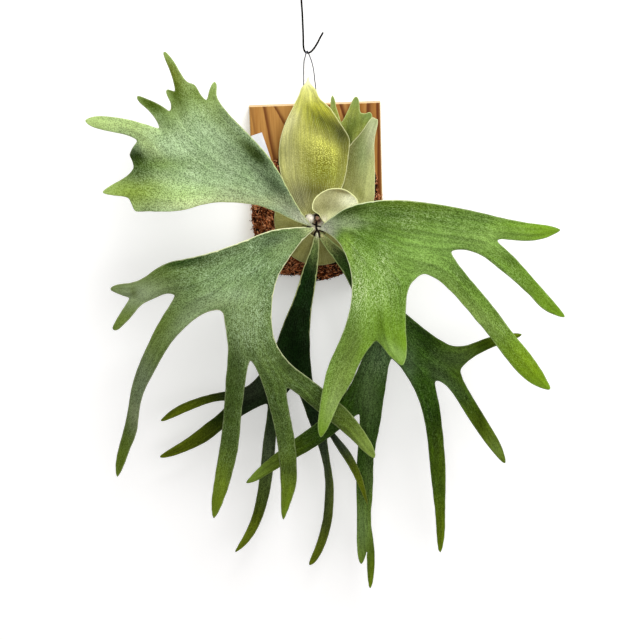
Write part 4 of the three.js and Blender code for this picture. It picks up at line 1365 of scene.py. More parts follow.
FROND_RIGHT = Leaf(
    "frond_right", BRIGHT, seed=7, frost_all=0.22, pleats=0.45 * MM,
    # The dark band along the top edge at (124, -28) is painted shade where the blade rolls back; the other
    # dabs are partly the frond's own tones.
    paints=(
        dab((124, -28), (110, 13), (80, 106, 4), 0.95, -6),
        dab((217, -53), (50, 16), (10, 40, 0)),
        dab((243, -86), (50, 16), (160, 198, 100)),
        dab((44, -38), (42, 14), (58, 80, 20), 0.9, 16),
        dab((34, -57), (28, 9), (200, 216, 176), 0.7),
        dab((72, -84), (36, 18), (70, 112, 0), 0.8),
        dab((66, -140), (28, 56), (144, 186, 76), 0.6),
        dab((160, -96), (60, 34), (146, 188, 90), 0.7),
        dab((205, -137), (16, 50), (20, 52, 0), 0.5, 45),
        dab((219, -194), (16, 50), (210, 246, 132), 0.5, 45),
        dab((42, -221), (16, 50), (10, 20, 6)),
        dab((84, -208), (12, 34), (78, 110, 0), 0.7, 4),
        dab((26, -290), (24, 70), (110, 125, 60), 0.6, -14),
        dab((300, -272), (30, 60), (128, 160, 0), 0.7, 55),
        dab((268, -190), (40, 60), (60, 84, 0), 0.5, -52),
        dab((103, -46), (30, 10), (48, 84, 0), 0.6),
        dab((108, -250), (10, 30), (158, 190, 110), 0.5, 45),
        dab((272, -110), (10, 30), (16, 46, 0), 0.5, 45),
        dab((221, -160), (30, 26), (84, 118, 24), 0.7, -50),
        dab((39, -93), (10, 30), (186, 230, 90)),
        dab((145, -132), (30, 10), (160, 204, 100), 0.4),
        dab((115, -175), (10, 30), (70, 104, 18)),
        dab((26, -250), (18, 18), (52, 74, 10), 0.4),
        dab((12, -326), (30, 12), (156, 180, 108), 0.5, 70),
    ),
    frosted=(
        Spot((64, -136), (40, 60), 1.4), Spot((110, -50), (90, 24), 0.5),
        Spot((40, -54), (32, 14), 1.3),
    ),
    folds=(
        (Spot((110, -34), (100, 14), slant=-4), 2.2 * MM),
        (Spot((80, -78), (70, 12), slant=-8), -1.4 * MM),
    ),
)
FROND_CENTRE = Leaf(
    "frond_centre", SHADED, seed=9,
    paints=(
        dab((-8, -92), (10, 26), (110, 130, 70), 0.7, 10),
        dab((-40, -239), (16, 50), (0, 8, 0)),
        dab((-112, -300), (36, 24), (46, 52, 38), 0.85, 30),
        dab((-85, -400), (16, 50), (112, 124, 92)),
        dab((-93, -447), (30, 30), (104, 124, 54)),
        dab((-10, -430), (22, 80), (62, 72, 60), 0.7),
        dab((36, -380), (26, 24), (60, 68, 60), 0.8),
        dab((-120, -530), (30, 10), (124, 142, 36), 0.5, 45),
        dab((-162, -339), (24, 14), (12, 36, 6), 0.7, 20),
        dab((-74, -350), (14, 30), (30, 48, 18), 0.7),
        dab((-2.4, -70), (2.6, 5), (214, 210, 186), 0.9),
    ),
)
FROND_LOWER_RIGHT = Leaf(
    "frond_lower_right", SHADED_DEEP_GREEN, seed=11, frost_all=0.4, spread=1.2 * MM,
    paints=(
        dab((82, -250), (30, 30), (90, 118, 76), 0.8),
        dab((66, -310), (16, 50), (110, 132, 86), 0.4),
        dab((200, -262), (40, 18), (74, 96, 52), 0.6),
        dab((149, -230), (14, 30), (2, 14, 0), 0.5, 45),
        dab((24, -100), (24, 14), (52, 64, 36), 0.6, -50),
        dab((252, -404), (14, 26), (92, 112, 54), 0.7, 20),
        dab((-104, -431), (50, 16), (132, 160, 72), 0.5, 45),
        dab((49, -526), (16, 50), (106, 134, 90)),
        dab((165, -356), (10, 30), (0, 18, 0)),
        dab((178, -295), (10, 30), (98, 122, 74), 0.5, 45),
        dab((230, -352), (10, 30), (0, 12, 0)),
        dab((17, -84), (16, 12), (160, 164, 100), 0.5, -40),
        dab((125, -272), (10, 30), (108, 132, 94), 0.4),
        dab((63, -562), (10, 30), (24, 44, 0)),
        dab((237, -242), (20, 18), (18, 46, 0), 0.7),
        dab((63, -440), (10, 30), (92, 112, 60)),
        dab((3.8, -70), (3.2, 5), (206, 194, 142), 0.9, 25),
    ),
    frosted=(Spot((80, -255), (30, 40), 1.8),),
)
FRONDS = (FROND_UPPER_LEFT, FROND_LOWER_LEFT, FROND_RIGHT, FROND_CENTRE, FROND_LOWER_RIGHT)

SHIELD_FORM = {
    "slot": "shield_leaf", "edge_thickness": 0.8 * MM, "blade_thickness": 1.2 * MM,
    "stalk_thickness": 1.2 * MM, "sway": 0.0, "ribs": 0.14 * MM, "pleats": 0.25 * MM, "frill": 0.25 * MM,
    "spread": 0.5 * MM, "spread_reach": 4 * MM,
}
SHIELD_LOWER = Leaf(
    "shield_lower", OLIVE_SHIELD, Vessels(centre=(-2, -52), spacing=2.8 * MM), seed=21, **SHIELD_FORM,
)
SHIELD_RIGHT_BACK = Leaf(
    "shield_right_back", GREEN_SHIELD,
    Vessels((18, -46), 16 * MM, ((25.3, 123.7), (58, 123), (78, 99)), spacing=2 * MM), seed=23,
    paints=(dab((45, 64), (12, 22), (30, 54, 0), 0.8), dab((56, 86), (14, 14), (44, 76, 8), 0.6)),
    pulls=(
        (Spot((39.4, 90.7), (4, 6)), (-1.8, -3.4)), (Spot((25, 121), (6, 8)), (0, 3.0)),
        (Spot((22.5, 117), (2.4, 5)), (-0.8, 0)), (Spot((29, 117), (2.4, 5)), (0.9, 0)),
        (Spot((71, 98), (3, 3)), (0, -1.8)),
    ),
    **SHIELD_FORM,
)
SHIELD_RIGHT_FRONT = Leaf(
    "shield_right_front", PALE_SHIELD, Vessels((17, -52), 16 * MM, ((86, 92),), spacing=2 * MM), seed=25,
    paints=(
        dab((62, -18), (24, 22), (196, 198, 130), 0.8),
        dab((60, -14), (7, 12), (106, 104, 6), 0.75, 20),
        dab((66, 46), (14, 44), (158, 186, 124)),
        dab((80, 66), (10, 30), (204, 210, 170), 0.6),
        dab((79, 12), (10, 30), (210, 216, 146)),
        dab((48, 24), (10, 30), (66, 76, 18), 0.6),
        dab((58, 61), (10, 30), (64, 76, 20)),
        dab((39, -4), (18, 18), (76, 82, 20)),
    ),
    pulls=((Spot((84, 92), (2.4, 3)), (0, -3.6)),),
    **SHIELD_FORM,
)
SHIELD_TALL = Leaf(
    "shield_tall", YELLOW_SHIELD, Vessels((-5, -40), 34 * MM, ((-8, 150),), spacing=1.9 * MM), seed=27,
    # Partly the shield's own tones, partly painted light: the bright dabs on the bump at (14, 50) and (4,
    # 46) are painted highlight, and the dark ones in the valley and fold at (18, 82), (21, 62) and (36, 66)
    # painted shade, over the folds that raise and sink the blade there.
    paints=(
        dab((-40, 50), (16, 60), (192, 190, 124), 0.8, 6),
        dab((-34, 95), (30, 10), (255, 250, 190), 0.5, 55),
        dab((-24, -16), (24, 34), (118, 116, 84), 0.9, -14),
        dab((4, 106), (34, 18), (244, 244, 44), 0.8, -40),
        dab((18, 82), (40, 13), (118, 124, 0), 1.15, -38),
        dab((21, 62), (30, 10), (20, 20, 0), 0.5, -45),
        dab((36, 66), (12, 22), (50, 60, 0), 1.0),
        dab((14, 50), (28, 12), (236, 238, 104), 1.0, -34),
        dab((4, 46), (12, 26), (255, 255, 128), 0.9, 45),
        dab((37, 16), (14, 24), (10, 10, 0), 0.5, 20),
        dab((12, 18), (24, 20), (176, 190, 72), 0.7),
        dab((-2, -6), (24, 15), (50, 50, 0), 0.85),
        dab((11, 9), (28, 9), (96, 104, 8)),
        dab((40, 42), (10, 26), (96, 98, 24), 0.6),
        dab((-8, 130), (20, 14), (255, 255, 144), 0.85),
        dab((-8, 148), (16, 10), (255, 255, 214), 0.9),
    ),
    pulls=(
        (Spot((2, 133), (6, 5)), (2.2, 1.2)), (Spot((-17, 136), (5, 5)), (-1.6, 1.0)),
        (Spot((-12, 146), (3, 4)), (1.4, 0)), (Spot((-3.5, 145), (3, 4)), (-1.4, 0)),
        (Spot((-8, 151), (4, 4)), (0, 3.0)), (Spot((-11, -37), (9, 5)), (0, -3.2)),
    ),
    pebbled=(Spot((10, 28), (34, 42), 1.2),),
    folds=(
        (Spot((20, 80), (40, 9), slant=-38), -2.6 * MM),
        (Spot((14, 50), (26, 11), slant=-34), 2.4 * MM),
        (Spot((4, 106), (30, 9), slant=-40), 1.2 * MM), (Spot((8, 10), (24, 14)), -1.0 * MM),
    ),
    **SHIELD_FORM,
)
SHIELD_YOUNG = Leaf(
    "shield_young", CREAM_SHIELD, Vessels(centre=(12, -58), spacing=2.2 * MM), seed=29,
    rim_angle=math.radians(40),
    # Partly the shield's own cream and olive, partly painted shade: the dark dabs at (8, -30) and (34, -10)
    # stand for shade under its rim.
    paints=(
        dab((48, -25), (17, 13), (255, 255, 218), 0.95),
        dab((26, -42), (24, 8), (244, 246, 188), 0.8, 24),
        dab((34, -10), (20, 2.8), (126, 116, 66), 0.85, -16),
        dab((8, -30), (12, 10), (84, 84, 14)),
        dab((30, -35), (30, 9), (128, 126, 86), 0.5, -45),
        dab((8, -50), (6, 5), (244, 236, 204), 0.9),
    ),
    pulls=((Spot((6, -47), (4, 6)), (-2.4, -1.6)),),
    **SHIELD_FORM,
)
SHIELDS = (SHIELD_LOWER, SHIELD_RIGHT_BACK, SHIELD_RIGHT_FRONT, SHIELD_TALL, SHIELD_YOUNG)


@dataclass(frozen=True)
class PineFinish:
    """Planed pine with dark slanted growth lines, and a painted highlight along its top and side edges.

    Each line has the place where it starts at the top, how far it leans for each metre down, its width and
    its strength, with the place and the width in millimetres.
    """

    light: Colour = tone(192, 140, 74)
    warm: Colour = tone(164, 106, 44)
    dark: Colour = tone(98, 44, 14)
    edge_highlight: Colour = tone(246, 220, 172)
    edge_highlight_share: float = 0.75
    slant: float = math.radians(12)
    lines: tuple[tuple[float, float, float, float], ...] = (
        (-73, 0.20, 3.2, 0.85), (-57, 0.55, 2.8, 0.85), (-90, 0.12, 2.0, 0.4), (34, 0.25, 2.8, 0.95),
        (58, 0.10, 3.0, 0.65), (74, -0.05, 4.6, 0.95), (87, 0.0, 3.2, 0.95), (6, 0.3, 2.4, 0.6),
        (-20, 0.35, 2.8, 0.7),
    )

    BROAD_SIZE = 13 * MM
    FIBRE_SIZE = 0.9 * MM
    WANDER_SIZE = 46 * MM
    WANDER = 12 * MM
    RAGGED = 2.4 * MM
    SHARP_SIDE = -0.7 * MM
    SOFT_SIDE = 2.5 * MM
    RELIEF = 0.15 * MM

    def material(self) -> bpy.types.Material:
        """Makes the wood's material.

        Returns:
            The material.
        """
        material, shading, shader = new_material("pine")
        where = shading.spot()
        axes = shading.node("ShaderNodeSeparateXYZ", {0: where}).outputs
        broad = shading.noise(shading.stretched(where, (1, 1, 0.05), self.slant), self.BROAD_SIZE)
        fibre = shading.noise(shading.stretched(where, (1, 1, 0.02), self.slant), self.FIBRE_SIZE, 3, 0.7)
        wander = shading.noise(shading.stretched(where, (1, 1, 0.3)), self.WANDER_SIZE, 2)
        colour = shading.blend(shading.between(broad, 0.35, 0.7), self.light, self.warm)
        down = shading.math("SUBTRACT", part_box("board")[1].z, axes["Z"])
        for start, lean, width, strength in self.lines:
            line = shading.math("MULTIPLY_ADD", down, lean, start * MM)
            line = shading.math("MULTIPLY_ADD", shading.math("SUBTRACT", wander, 0.5), self.WANDER, line)
            away = shading.math("SUBTRACT", axes["X"], line)
            away = shading.math("MULTIPLY_ADD", shading.math("SUBTRACT", fibre, 0.5), self.RAGGED, away)
            sharp = shading.between(away, width * self.SHARP_SIDE, 0)
            soft = shading.between(away, width * self.SOFT_SIDE, 0, (0, strength))
            colour = shading.blend(shading.times(sharp, soft), colour, self.dark)
        colour = shading.blend(shading.between(fibre, 0.45, 0.75, (0, 0.35)), colour, self.dark)
        # A painted highlight along the board's top and side edges, where they catch the light.
        low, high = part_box("board")
        top = shading.between(axes["Z"], high.z - 1.3 * MM, high.z - 0.4 * MM)
        right = shading.between(axes["X"], high.x - 1.6 * MM, high.x - 0.5 * MM)
        left = shading.between(axes["X"], low.x + 1.4 * MM, low.x + 0.4 * MM)
        edges = shading.math("MAXIMUM", shading.math("MAXIMUM", top, right), left)
        shading.fill(shader, {
            "Base Color": shading.blend(shading.times(edges, self.edge_highlight_share), colour, self.edge_highlight),
            "Roughness": shading.between(fibre, 0.3, 0.8, (0.48, 0.72)),
            "Specular IOR Level": 0.12,
            "Normal": shading.bump(fibre, self.RELIEF, 0.5),
        })
        return material


@dataclass(frozen=True)
class PlainFinish:
    """A plain material with fine unevenness of colour and surface."""

    name: str
    light: Colour
    dark: Colour
    mottle: float
    roughness: Range
    relief: float
    specular: float = 0.5
    metallic: float = 0.0
    sheen: float = 0.0

    def material(self) -> bpy.types.Material:
        """Makes the material.

        Returns:
            The material.
        """
        material, shading, shader = new_material(self.name)
        where = shading.spot()
        patches = shading.noise(where, self.mottle, 4, 0.6)
        fine = shading.noise(where, self.mottle / 5)
        shading.fill(shader, {
            "Base Color": shading.blend(shading.between(patches, 0.35, 0.65), self.light, self.dark),
            "Roughness": shading.between(fine, 0.3, 0.7, self.roughness),
            "Metallic": self.metallic,
            "Specular IOR Level": self.specular,
            "Sheen Weight": self.sheen,
            "Normal": shading.bump(fine, self.relief, 0.6),
        })
        return material


STEEL = PlainFinish(
    "dull_steel", tone(92, 92, 106), tone(60, 60, 74), 5 * MM, (0.45, 0.6), 0.02 * MM, 0.3, metallic=0.8,
)
BLACK_WIRE = PlainFinish("black_wire", tone(4, 4, 5), tone(14, 13, 13), 4 * MM, (0.6, 0.8), 0.03 * MM, 0.06)
WHITE_LABEL = PlainFinish(
    "white_label", tone(246, 246, 250), tone(232, 232, 240), 9 * MM, (0.4, 0.55), 0.02 * MM,
)
# The mound's dark brown is partly the coir's own colour and partly painted shade in the hollows between the
# loose fibres.
COIR_GROUND = PlainFinish(
    "coir_ground", tone(84, 38, 14), tone(16, 6, 2), 3.2 * MM, (0.85, 1.0), 0.7 * MM, 0.1,
)
COIR_FIBRES = tuple(
    PlainFinish(name, light, dark, 5 * MM, (0.75, 0.95), 0.03 * MM, 0.12)
    for name, light, dark in (
        ("coir_brown", tone(146, 74, 32), tone(92, 42, 16)),
        ("coir_light", tone(244, 172, 124), tone(196, 110, 60)),
        ("coir_dark", tone(34, 14, 6), tone(14, 5, 2)),
    )
)
SCALE_BROWN = PlainFinish(
    "bud_scales", tone(74, 38, 26), tone(34, 15, 10), 1.6 * MM, (0.6, 0.85), 0.1 * MM, 0.3,
)
WOOL = PlainFinish(
    "bud_wool", tone(255, 250, 238), tone(250, 240, 220), 1.6 * MM, (0.8, 0.95), 0.2 * MM, 0.2, sheen=0.4,
)


@dataclass
class Strand:
    """One hair or fibre: its points, its radius and which of its piece's finishes it has."""

    points: list[Array]
    radius: float
    kind: int = 0


def tubes(name: str, strands: list[Strand], finishes: tuple[PlainFinish, ...]) -> Piece:
    """Makes a piece of many thin tubes.

    Args:
        name: The piece's name.
        strands: The tubes.
        finishes: The finishes that they choose from.

    Returns:
        The piece.
    """
    data = bpy.data.curves.new(name, "CURVE")
    data.dimensions = "3D"
    data.bevel_depth = 1
    data.bevel_resolution = 0
    data.use_fill_caps = True
    for finish in finishes:
        data.materials.append(finish.material())
    for strand in strands:
        spline = data.splines.new("POLY")
        spline.points.add(len(strand.points) - 1)
        spline.material_index = strand.kind
        for point, place in zip(spline.points, strand.points):
            point.co = (*place, 1)
            point.radius = strand.radius
    piece = new_object(name, data)
    take(piece)
    bpy.ops.object.convert(target="MESH")
    return piece


@dataclass
class Hanger:
    """The screw eyes, the wire loop tied to them and the hook that it hangs on."""

    loop_fatten: float = 0.24 * MM
    hook_fatten: float = 0.34 * MM

    FLAT_WITHIN = math.radians(30)
    SQUARE_WITHIN = math.radians(60)

    def build(self) -> None:
        """Makes the round wires and finishes the steel."""
        self.round_wire("wire_loop", "steel_wire", STEEL, self.loop_fatten)
        self.round_wire("hanging_hook", "black_wire", BLACK_WIRE, self.hook_fatten)
        steel = STEEL.material()
        for name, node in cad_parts.items():
            if name.startswith(("screw_eye", "pad_nail")):
                node.material_slots[0].material = steel

    def round_wire(self, node: str, slot: str, finish: PlainFinish, fatten: float) -> None:
        """Remakes a wire's faceted solid as a round wire.

        Args:
            node: The wire's solid.
            slot: The wire's material slot.
            finish: The wire's finish.
            fatten: How far the facets go out first, so that the round wire keeps its diameter.
        """
        piece = piece_of(f"{node}_round", merged_copy(node))
        take(piece)
        bpy.ops.object.mode_set(mode="EDIT")
        bpy.ops.mesh.select_all(action="SELECT")
        limits = {"face_threshold": self.FLAT_WITHIN, "shape_threshold": self.SQUARE_WITHIN}
        bpy.ops.mesh.tris_convert_to_quads(**limits)
        bpy.ops.transform.shrink_fatten(value=fatten)
        bpy.ops.object.mode_set(mode="OBJECT")
        subdivide(piece, 2)
        smooth(piece)
        piece.data.materials.append(finish.material())
        dress(piece, slot, node)


@dataclass
class Board:
    """The pine board and the label that leans on it, which keep their solids' shapes."""

    wood: PineFinish = PineFinish()
    label: PlainFinish = WHITE_LABEL

    def build(self) -> None:
        """Finishes the board and the label."""
        for node, finish in (("board", self.wood), ("plant_tag", self.label)):
            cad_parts[node].material_slots[0].material = finish.material()


@dataclass
class RootPad:
    """The coir pad: its rough mound, with loose fibres and chips where it shows."""

    node: str = "root_pad"
    slot: str = "coir"
    mound_cuts: int = 3
    roughness: float = 1.3 * MM
    fibres: int = 2600
    fibre_points: int = 5
    fibre_radius: Range = (0.16 * MM, 0.44 * MM)
    fibre_length: Range = (5 * MM, 17 * MM)
    fibre_lift: Range = (0.3 * MM, 1.8 * MM)
    fibre_bend: float = 0.2
    fibre_kinds: tuple[float, ...] = (0.36, 0.32, 0.32)
    chips: int = 900
    chip_size: tuple[Range, ...] = ((1.2 * MM, 3.6 * MM), (0.8 * MM, 2.0 * MM), (0.4 * MM, 1.1 * MM))
    chip_uneven: Range = (0.75, 1.2)
    chip_kinds: tuple[float, ...] = (0.32, 0.34, 0.34)
    crown: tuple[float, float] = (-3 * MM, -57 * MM)
    crown_reach: float = 30 * MM
    sunk: float = 0.4 * MM
    seed: int = 31

    BACK_FACING = 0.6
    HIGHEST = 0.4
    COVER_REACH = 40 * MM
    UNDER_COVER = 0.04

    def build(self) -> None:
        """Makes the mound, then its fibres and chips."""
        self.mound()
        places, normals = self.bare_spots(self.fibres + self.chips)
        self.strew_fibres(places[: self.fibres], normals[: self.fibres])
        self.strew_chips(places[self.fibres:], normals[self.fibres:])

    def mound(self) -> None:
        """Roughens a finer copy of the pad's solid, never beyond the solid's own face."""
        shape = merged_copy(self.node)
        bmesh.ops.subdivide_edges(shape, edges=shape.edges, cuts=self.mound_cuts, use_grid_fill=True)
        piece = piece_of("pad_mound", shape)
        mesh = piece.data
        places = corners(mesh)
        height = 0.55 * ripple(places, 9 * MM, self.seed) + 0.45 * ripple(places, 4 * MM, self.seed + 1)
        at_back = corner_normals(mesh)[:, 1] > self.BACK_FACING
        height = np.where(at_back, 0, np.minimum(height, self.HIGHEST) - self.HIGHEST)
        raise_corners(mesh, height * self.roughness)
        smooth(piece)
        mesh.materials.append(COIR_GROUND.material())
        dress(piece, self.slot, self.node)

    def bare_spots(self, count: int) -> tuple[Array, Array]:
        """Picks places on the pad that no shield covers, and a few under the shields.

        Args:
            count: How many places to pick.

        Returns:
            The places and the directions out of the pad there.
        """
        draw = np.random.default_rng(self.seed)
        shape = merged_copy(self.node)
        bmesh.ops.triangulate(shape, faces=shape.faces)
        faces = [face for face in shape.faces if face.normal.y < 0.5]
        area = np.array([face.calc_area() for face in faces])
        covers = [hit_tree(leaf.node) for leaf in SHIELDS]
        ahead = Vector((0, -1, 0))
        places, normals = [], []
        while len(places) < count:
            face = faces[draw.choice(len(faces), p=area / area.sum())]
            a, b, c = (np.array(corner.co) for corner in face.verts)
            u, v = draw.uniform(size=2)
            if u + v > 1:
                u, v = 1 - u, 1 - v
            place = Vector(a + u * (b - a) + v * (c - a))
            covered = any(tree.ray_cast(place, ahead, self.COVER_REACH)[0] for tree in covers)
            near_crown = math.hypot(place.x - self.crown[0], place.z - self.crown[1]) < self.crown_reach
            if not near_crown and (not covered or draw.uniform() < self.UNDER_COVER):
                places.append(place)
                normals.append(face.normal.copy())
        shape.free()
        return np.array(places), np.array(normals)

    def strew_fibres(self, places: Array, normals: Array) -> None:
        """Lays short bent fibres on the pad.

        Args:
            places: The middle of each fibre.
            normals: The way out of the pad at each.
        """
        draw = np.random.default_rng(self.seed + 1)
        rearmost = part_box("board")[0].y - self.sunk
        strands = []
        for place, out in zip(places, normals):
            way = way_along(out, draw)
            side = np.cross(out, way)
            length = draw.uniform(*self.fibre_length)
            bend = draw.normal(0, self.fibre_bend, 2) * length
            lift = draw.uniform(*self.fibre_lift)
            points = []
            for t in np.linspace(-1, 1, self.fibre_points):
                spot = place + way * (t * length / 2) + side * (bend[0] * t * t + bend[1] * t ** 3)
                spot = spot + out * (lift * (1 - t * t) - self.sunk * t * t)
                spot[1] = min(spot[1], rearmost)
                points.append(spot)
            kind = int(draw.choice(len(COIR_FIBRES), p=self.fibre_kinds))
            strands.append(Strand(points, draw.uniform(*self.fibre_radius), kind))
        dress(tubes("pad_fibres", strands, COIR_FIBRES), self.slot)

    def strew_chips(self, places: Array, normals: Array) -> None:
        """Lays small flat chips of bark and husk on the pad.

        Args:
            places: The middle of each chip.
            normals: The way out of the pad at each.
        """
        draw = np.random.default_rng(self.seed + 2)
        bpy.ops.object.select_all(action="DESELECT")
        bpy.ops.mesh.primitive_ico_sphere_add(subdivisions=1, radius=1)
        model = bpy.context.object
        chip = corners(model.data)
        faces = np.array([list(face.vertices) for face in model.data.polygons])
        bpy.data.objects.remove(model)
        blocks, joined = [], []
        for index, (place, out) in enumerate(zip(places, normals)):
            way = way_along(out, draw)
            axes = np.stack([way, np.cross(out, way), out])
            size = np.array([draw.uniform(*span) for span in self.chip_size])
            rough = chip * draw.uniform(*self.chip_uneven, (len(chip), 1))
            blocks.append((rough * size) @ axes + place + out * self.sunk)
            joined.append(faces + index * len(chip))
        mesh = bpy.data.meshes.new("pad_chips")
        mesh.from_pydata(np.vstack(blocks).tolist(), [], np.vstack(joined).tolist())
        piece = new_object("pad_chips", mesh)
        for finish in COIR_FIBRES:
            mesh.materials.append(finish.material())
        picks = np.repeat(draw.choice(len(COIR_FIBRES), len(places), p=self.chip_kinds), len(faces))
        mesh.polygons.foreach_set("material_index", picks.astype(np.int32))
        dress(piece, self.slot)


@dataclass
class Crown:
    """The short stem at the crown, where the leaf bases meet round a scaly bud, and the woolly bud by it.

    The places and reaches of the skin and the bud are as drawn, in millimetres.
    """

    middle: Drawn = (-3, -57)
    skin_reach: Drawn = (22.5, 23)
    skin_rings: int = 44
    skin_spokes: int = 112
    skin_lift: float = 0.4 * MM
    skin_thickness: float = 0.8 * MM
    skin_rough: tuple[float, float] = (0.35 * MM, 0.15 * MM)
    bud: Drawn = (-1.3, -46.5)
    bud_reach: float = 5
    bud_shade_reach: float = 7
    bud_coil: float = 0.6 * MM
    bud_twist: float = 1.4
    bud_ring: float = 4.4
    bud_ring_width: float = 1.4
    bud_ring_depth: float = 0.6 * MM
    slit_depth: float = 1.4 * MM
    wool_rough: float = 0.3 * MM
    wool_hairs: int = 420
    wool_length: Range = (0.8 * MM, 2.0 * MM)
    wool_radius: float = 0.09 * MM
    bud_flakes: int = 90
    flake_reach: Range = (2.6, 5.0)
    flake_length: Range = (1.1 * MM, 2.0 * MM)
    flake_width: Range = (0.4 * MM, 0.7 * MM)
    flake_thickness: float = 0.15 * MM
    flake_outline: tuple[tuple[float, float], ...] = ((0, 0.6), (0.35, 1), (0.7, 0.7), (1, 0.12))
    seed: int = 61

    FLAKE_TURN = 2.399963
    EASE_ROUNDS = ((8, True), (3, False))
    SCALES = tone(176, 166, 118), tone(136, 124, 80)
    # Soft paint on the leaf bases and the bud. The pale dab above the bud at (-9, -39.5) is painted lighter
    # than the bases' own colour, as painted light that lifts the shade the shields cast there.
    BASES = (
        dab((-18, -40), (10, 7), (188, 180, 126), 0.95),
        dab((-9, -39.5), (9, 3.5), (226, 216, 166), 0.95),
        dab((9, -44), (8, 9), (240, 232, 196), 0.95),
        dab((-16, -66), (9, 7), (116, 108, 58), 0.9),
        dab((10, -72), (9, 7), (150, 142, 88), 0.9),
        dab((-14, -54), (8, 4.5), (254, 250, 236), 0.95, -40),
        dab((-9, -61.5), (7, 2.6), (232, 226, 196), 0.9, 8),
        dab((8, -60), (9, 4), (240, 238, 226), 0.95, 10),
        dab((8, -53.5), (8, 4), (250, 242, 228), 0.95, 30),
        dab((-3.4, -52.2), (3.2, 3.0), (150, 100, 98), 0.95),
        dab((1.0, -51.4), (2.4, 2.4), (118, 40, 46), 0.95),
    )

    def build(self) -> None:
        """Makes the stem with its bud, the bud's flakes and the woolly bud."""
        stem = self.skin()
        self.shape_stem(stem.data)
        stem.data.materials.append(self.stem_material())
        finish_with(stem, "SOLIDIFY", thickness=self.skin_thickness, offset=-1)
        dress(stem, "rhizome_scales", "rhizome")
        self.flakes()
        self.woolly_bud()

    def skin(self) -> Piece:
        """Drapes a skin of leaf bases over the stem, out to the pad under the shields' feet.

        Returns:
            The skin as a plain sheet.
        """
        eye = Vector(EYE.place())
        share = np.linspace(0, 1, self.skin_rings)[:, None]
        turn = np.linspace(0, 2 * math.pi, self.skin_spokes, endpoint=False)[None, :]
        across = (self.middle[0] + self.skin_reach[0] * share * np.cos(turn)) * MM
        up = (self.middle[1] + self.skin_reach[1] * share * np.sin(turn)) * MM
        rays = np.stack([across, np.full_like(across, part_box("board")[0].y), up], axis=2) - np.array(eye)
        rays /= np.linalg.norm(rays, axis=2, keepdims=True)
        places = np.array(eye) + rays * self.drape(eye, rays)[:, :, None]
        shape = bmesh.new()
        middle = shape.verts.new(places[0, 0])
        rings = [[shape.verts.new(place) for place in ring] for ring in places[1:]]
        steps = [(k, (k + 1) % self.skin_spokes) for k in range(self.skin_spokes)]
        for near, far in zip(rings, rings[1:]):
            for k, after in steps:
                shape.faces.new((near[k], far[k], far[after], near[after]))
        for k, after in steps:
            shape.faces.new((middle, rings[0][k], rings[0][after]))
        shape.normal_update()
        if sum(face.normal.y * face.calc_area() for face in shape.faces) > 0:
            bmesh.ops.reverse_faces(shape, faces=shape.faces)
        piece = piece_of("leaf_bases", shape)
        smooth(piece)
        return piece

    def drape(self, eye: Vector, rays: Array) -> Array:
        """Finds how far from the eye the skin lies, first held to the front of the solids and then eased.

        Args:
            eye: Where the rays start.
            rays: Their directions, in rings from the middle outwards.

        Returns:
            The distance along each ray.
        """
        stem, pad = hit_tree("rhizome"), hit_tree("root_pad")
        depth = np.full(rays.shape[:2], np.nan)
        for spot in np.ndindex(depth.shape):
            ray = Vector(rays[spot])
            hits = ((stem.ray_cast(eye, ray)[3], 0), (pad.ray_cast(eye, ray)[3], self.skin_lift))
            depth[spot] = min(hit - lift for hit, lift in hits if hit is not None)
        depth[0] = depth[0].mean()
        raw = depth.copy()
        for rounds, held in self.EASE_ROUNDS:
            for _ in range(rounds):
                eased = depth.copy()
                around = (np.roll(depth, 1, axis=1) + np.roll(depth, -1, axis=1)) / 2
                eased[1:-1] = (around[1:-1] + (depth[:-2] + depth[2:]) / 2) / 2
                eased[0] = depth[1].mean()
                depth = np.minimum(eased, raw) if held else eased
        return depth

    def shape_stem(self, mesh: Mesh) -> None:
        """Sinks the gaps between the leaf bases, coils the bud and paints both, with painted shade in the
        gaps and round the bud.

        Args:
            mesh: The skin's mesh.
        """
        places = corners(mesh)
        drawn = EYE.drawn(places)
        gap = strongest(SHADED_CROWN_GAPS, drawn)
        away = drawn - np.array(self.bud)
        reach = np.linalg.norm(away, axis=1)
        ring = np.exp(-(((reach - self.bud_ring) / self.bud_ring_width) ** 2))
        ring *= np.clip(0.75 + away[:, 1] / 6, 0.15, 1)
        coil = np.cos(np.arctan2(away[:, 1], away[:, 0]) - reach * self.bud_twist)
        coil *= np.clip(1 - reach / self.bud_reach, 0, 1)
        height = self.bud_coil * coil - self.slit_depth * gap - self.bud_ring_depth * ring
        for index, wavelength in enumerate((3 * MM, 1.2 * MM)):
            height += self.skin_rough[index] * ripple(places, wavelength, self.seed + index)
        raise_corners(mesh, height)
        # Painted shade: the gaps, and the groove round the bud out to bud_shade_reach.
        write_field(mesh, "gap", np.clip(gap + ring * (reach < self.bud_shade_reach), 0, 1))
        heart = (
            dab(self.bud, (3.4, 3.4), (92, 50, 44), 0.95),
            dab(self.bud, (1.1, 0.5), (170, 108, 98), 0.9, 50),
        )
        paint_on(mesh, drawn, self.BASES + heart)

    def stem_material(self) -> bpy.types.Material:
        """Makes the stem's finish: brown scales, pale leaf bases and painted near-black shade in the gaps.

        Returns:
            The material.
        """
        material, shading, shader = new_material("stem_and_leaf_bases")
        rough = shading.noise(shading.spot(), 1.6 * MM, 3, 0.65)
        colour = shading.patched(shading.blend(shading.between(rough, 0.35, 0.65), *self.SCALES))
        colour = shading.vary(colour, shading.between(rough, 0.3, 0.7, (0.85, 1.12)))
        shading.fill(shader, {
            # Painted near-black shade in the gaps and round the bud.
            "Base Color": shading.blend(shading.between("gap", *GAP_SHADE_EDGE), colour, GAP_SHADE),
            "Roughness": shading.between(rough, 0.3, 0.7, (0.6, 0.85)),
            "Specular IOR Level": 0.15,
            "Normal": shading.bump(rough, 0.25 * MM, 0.7),
        })
        return material

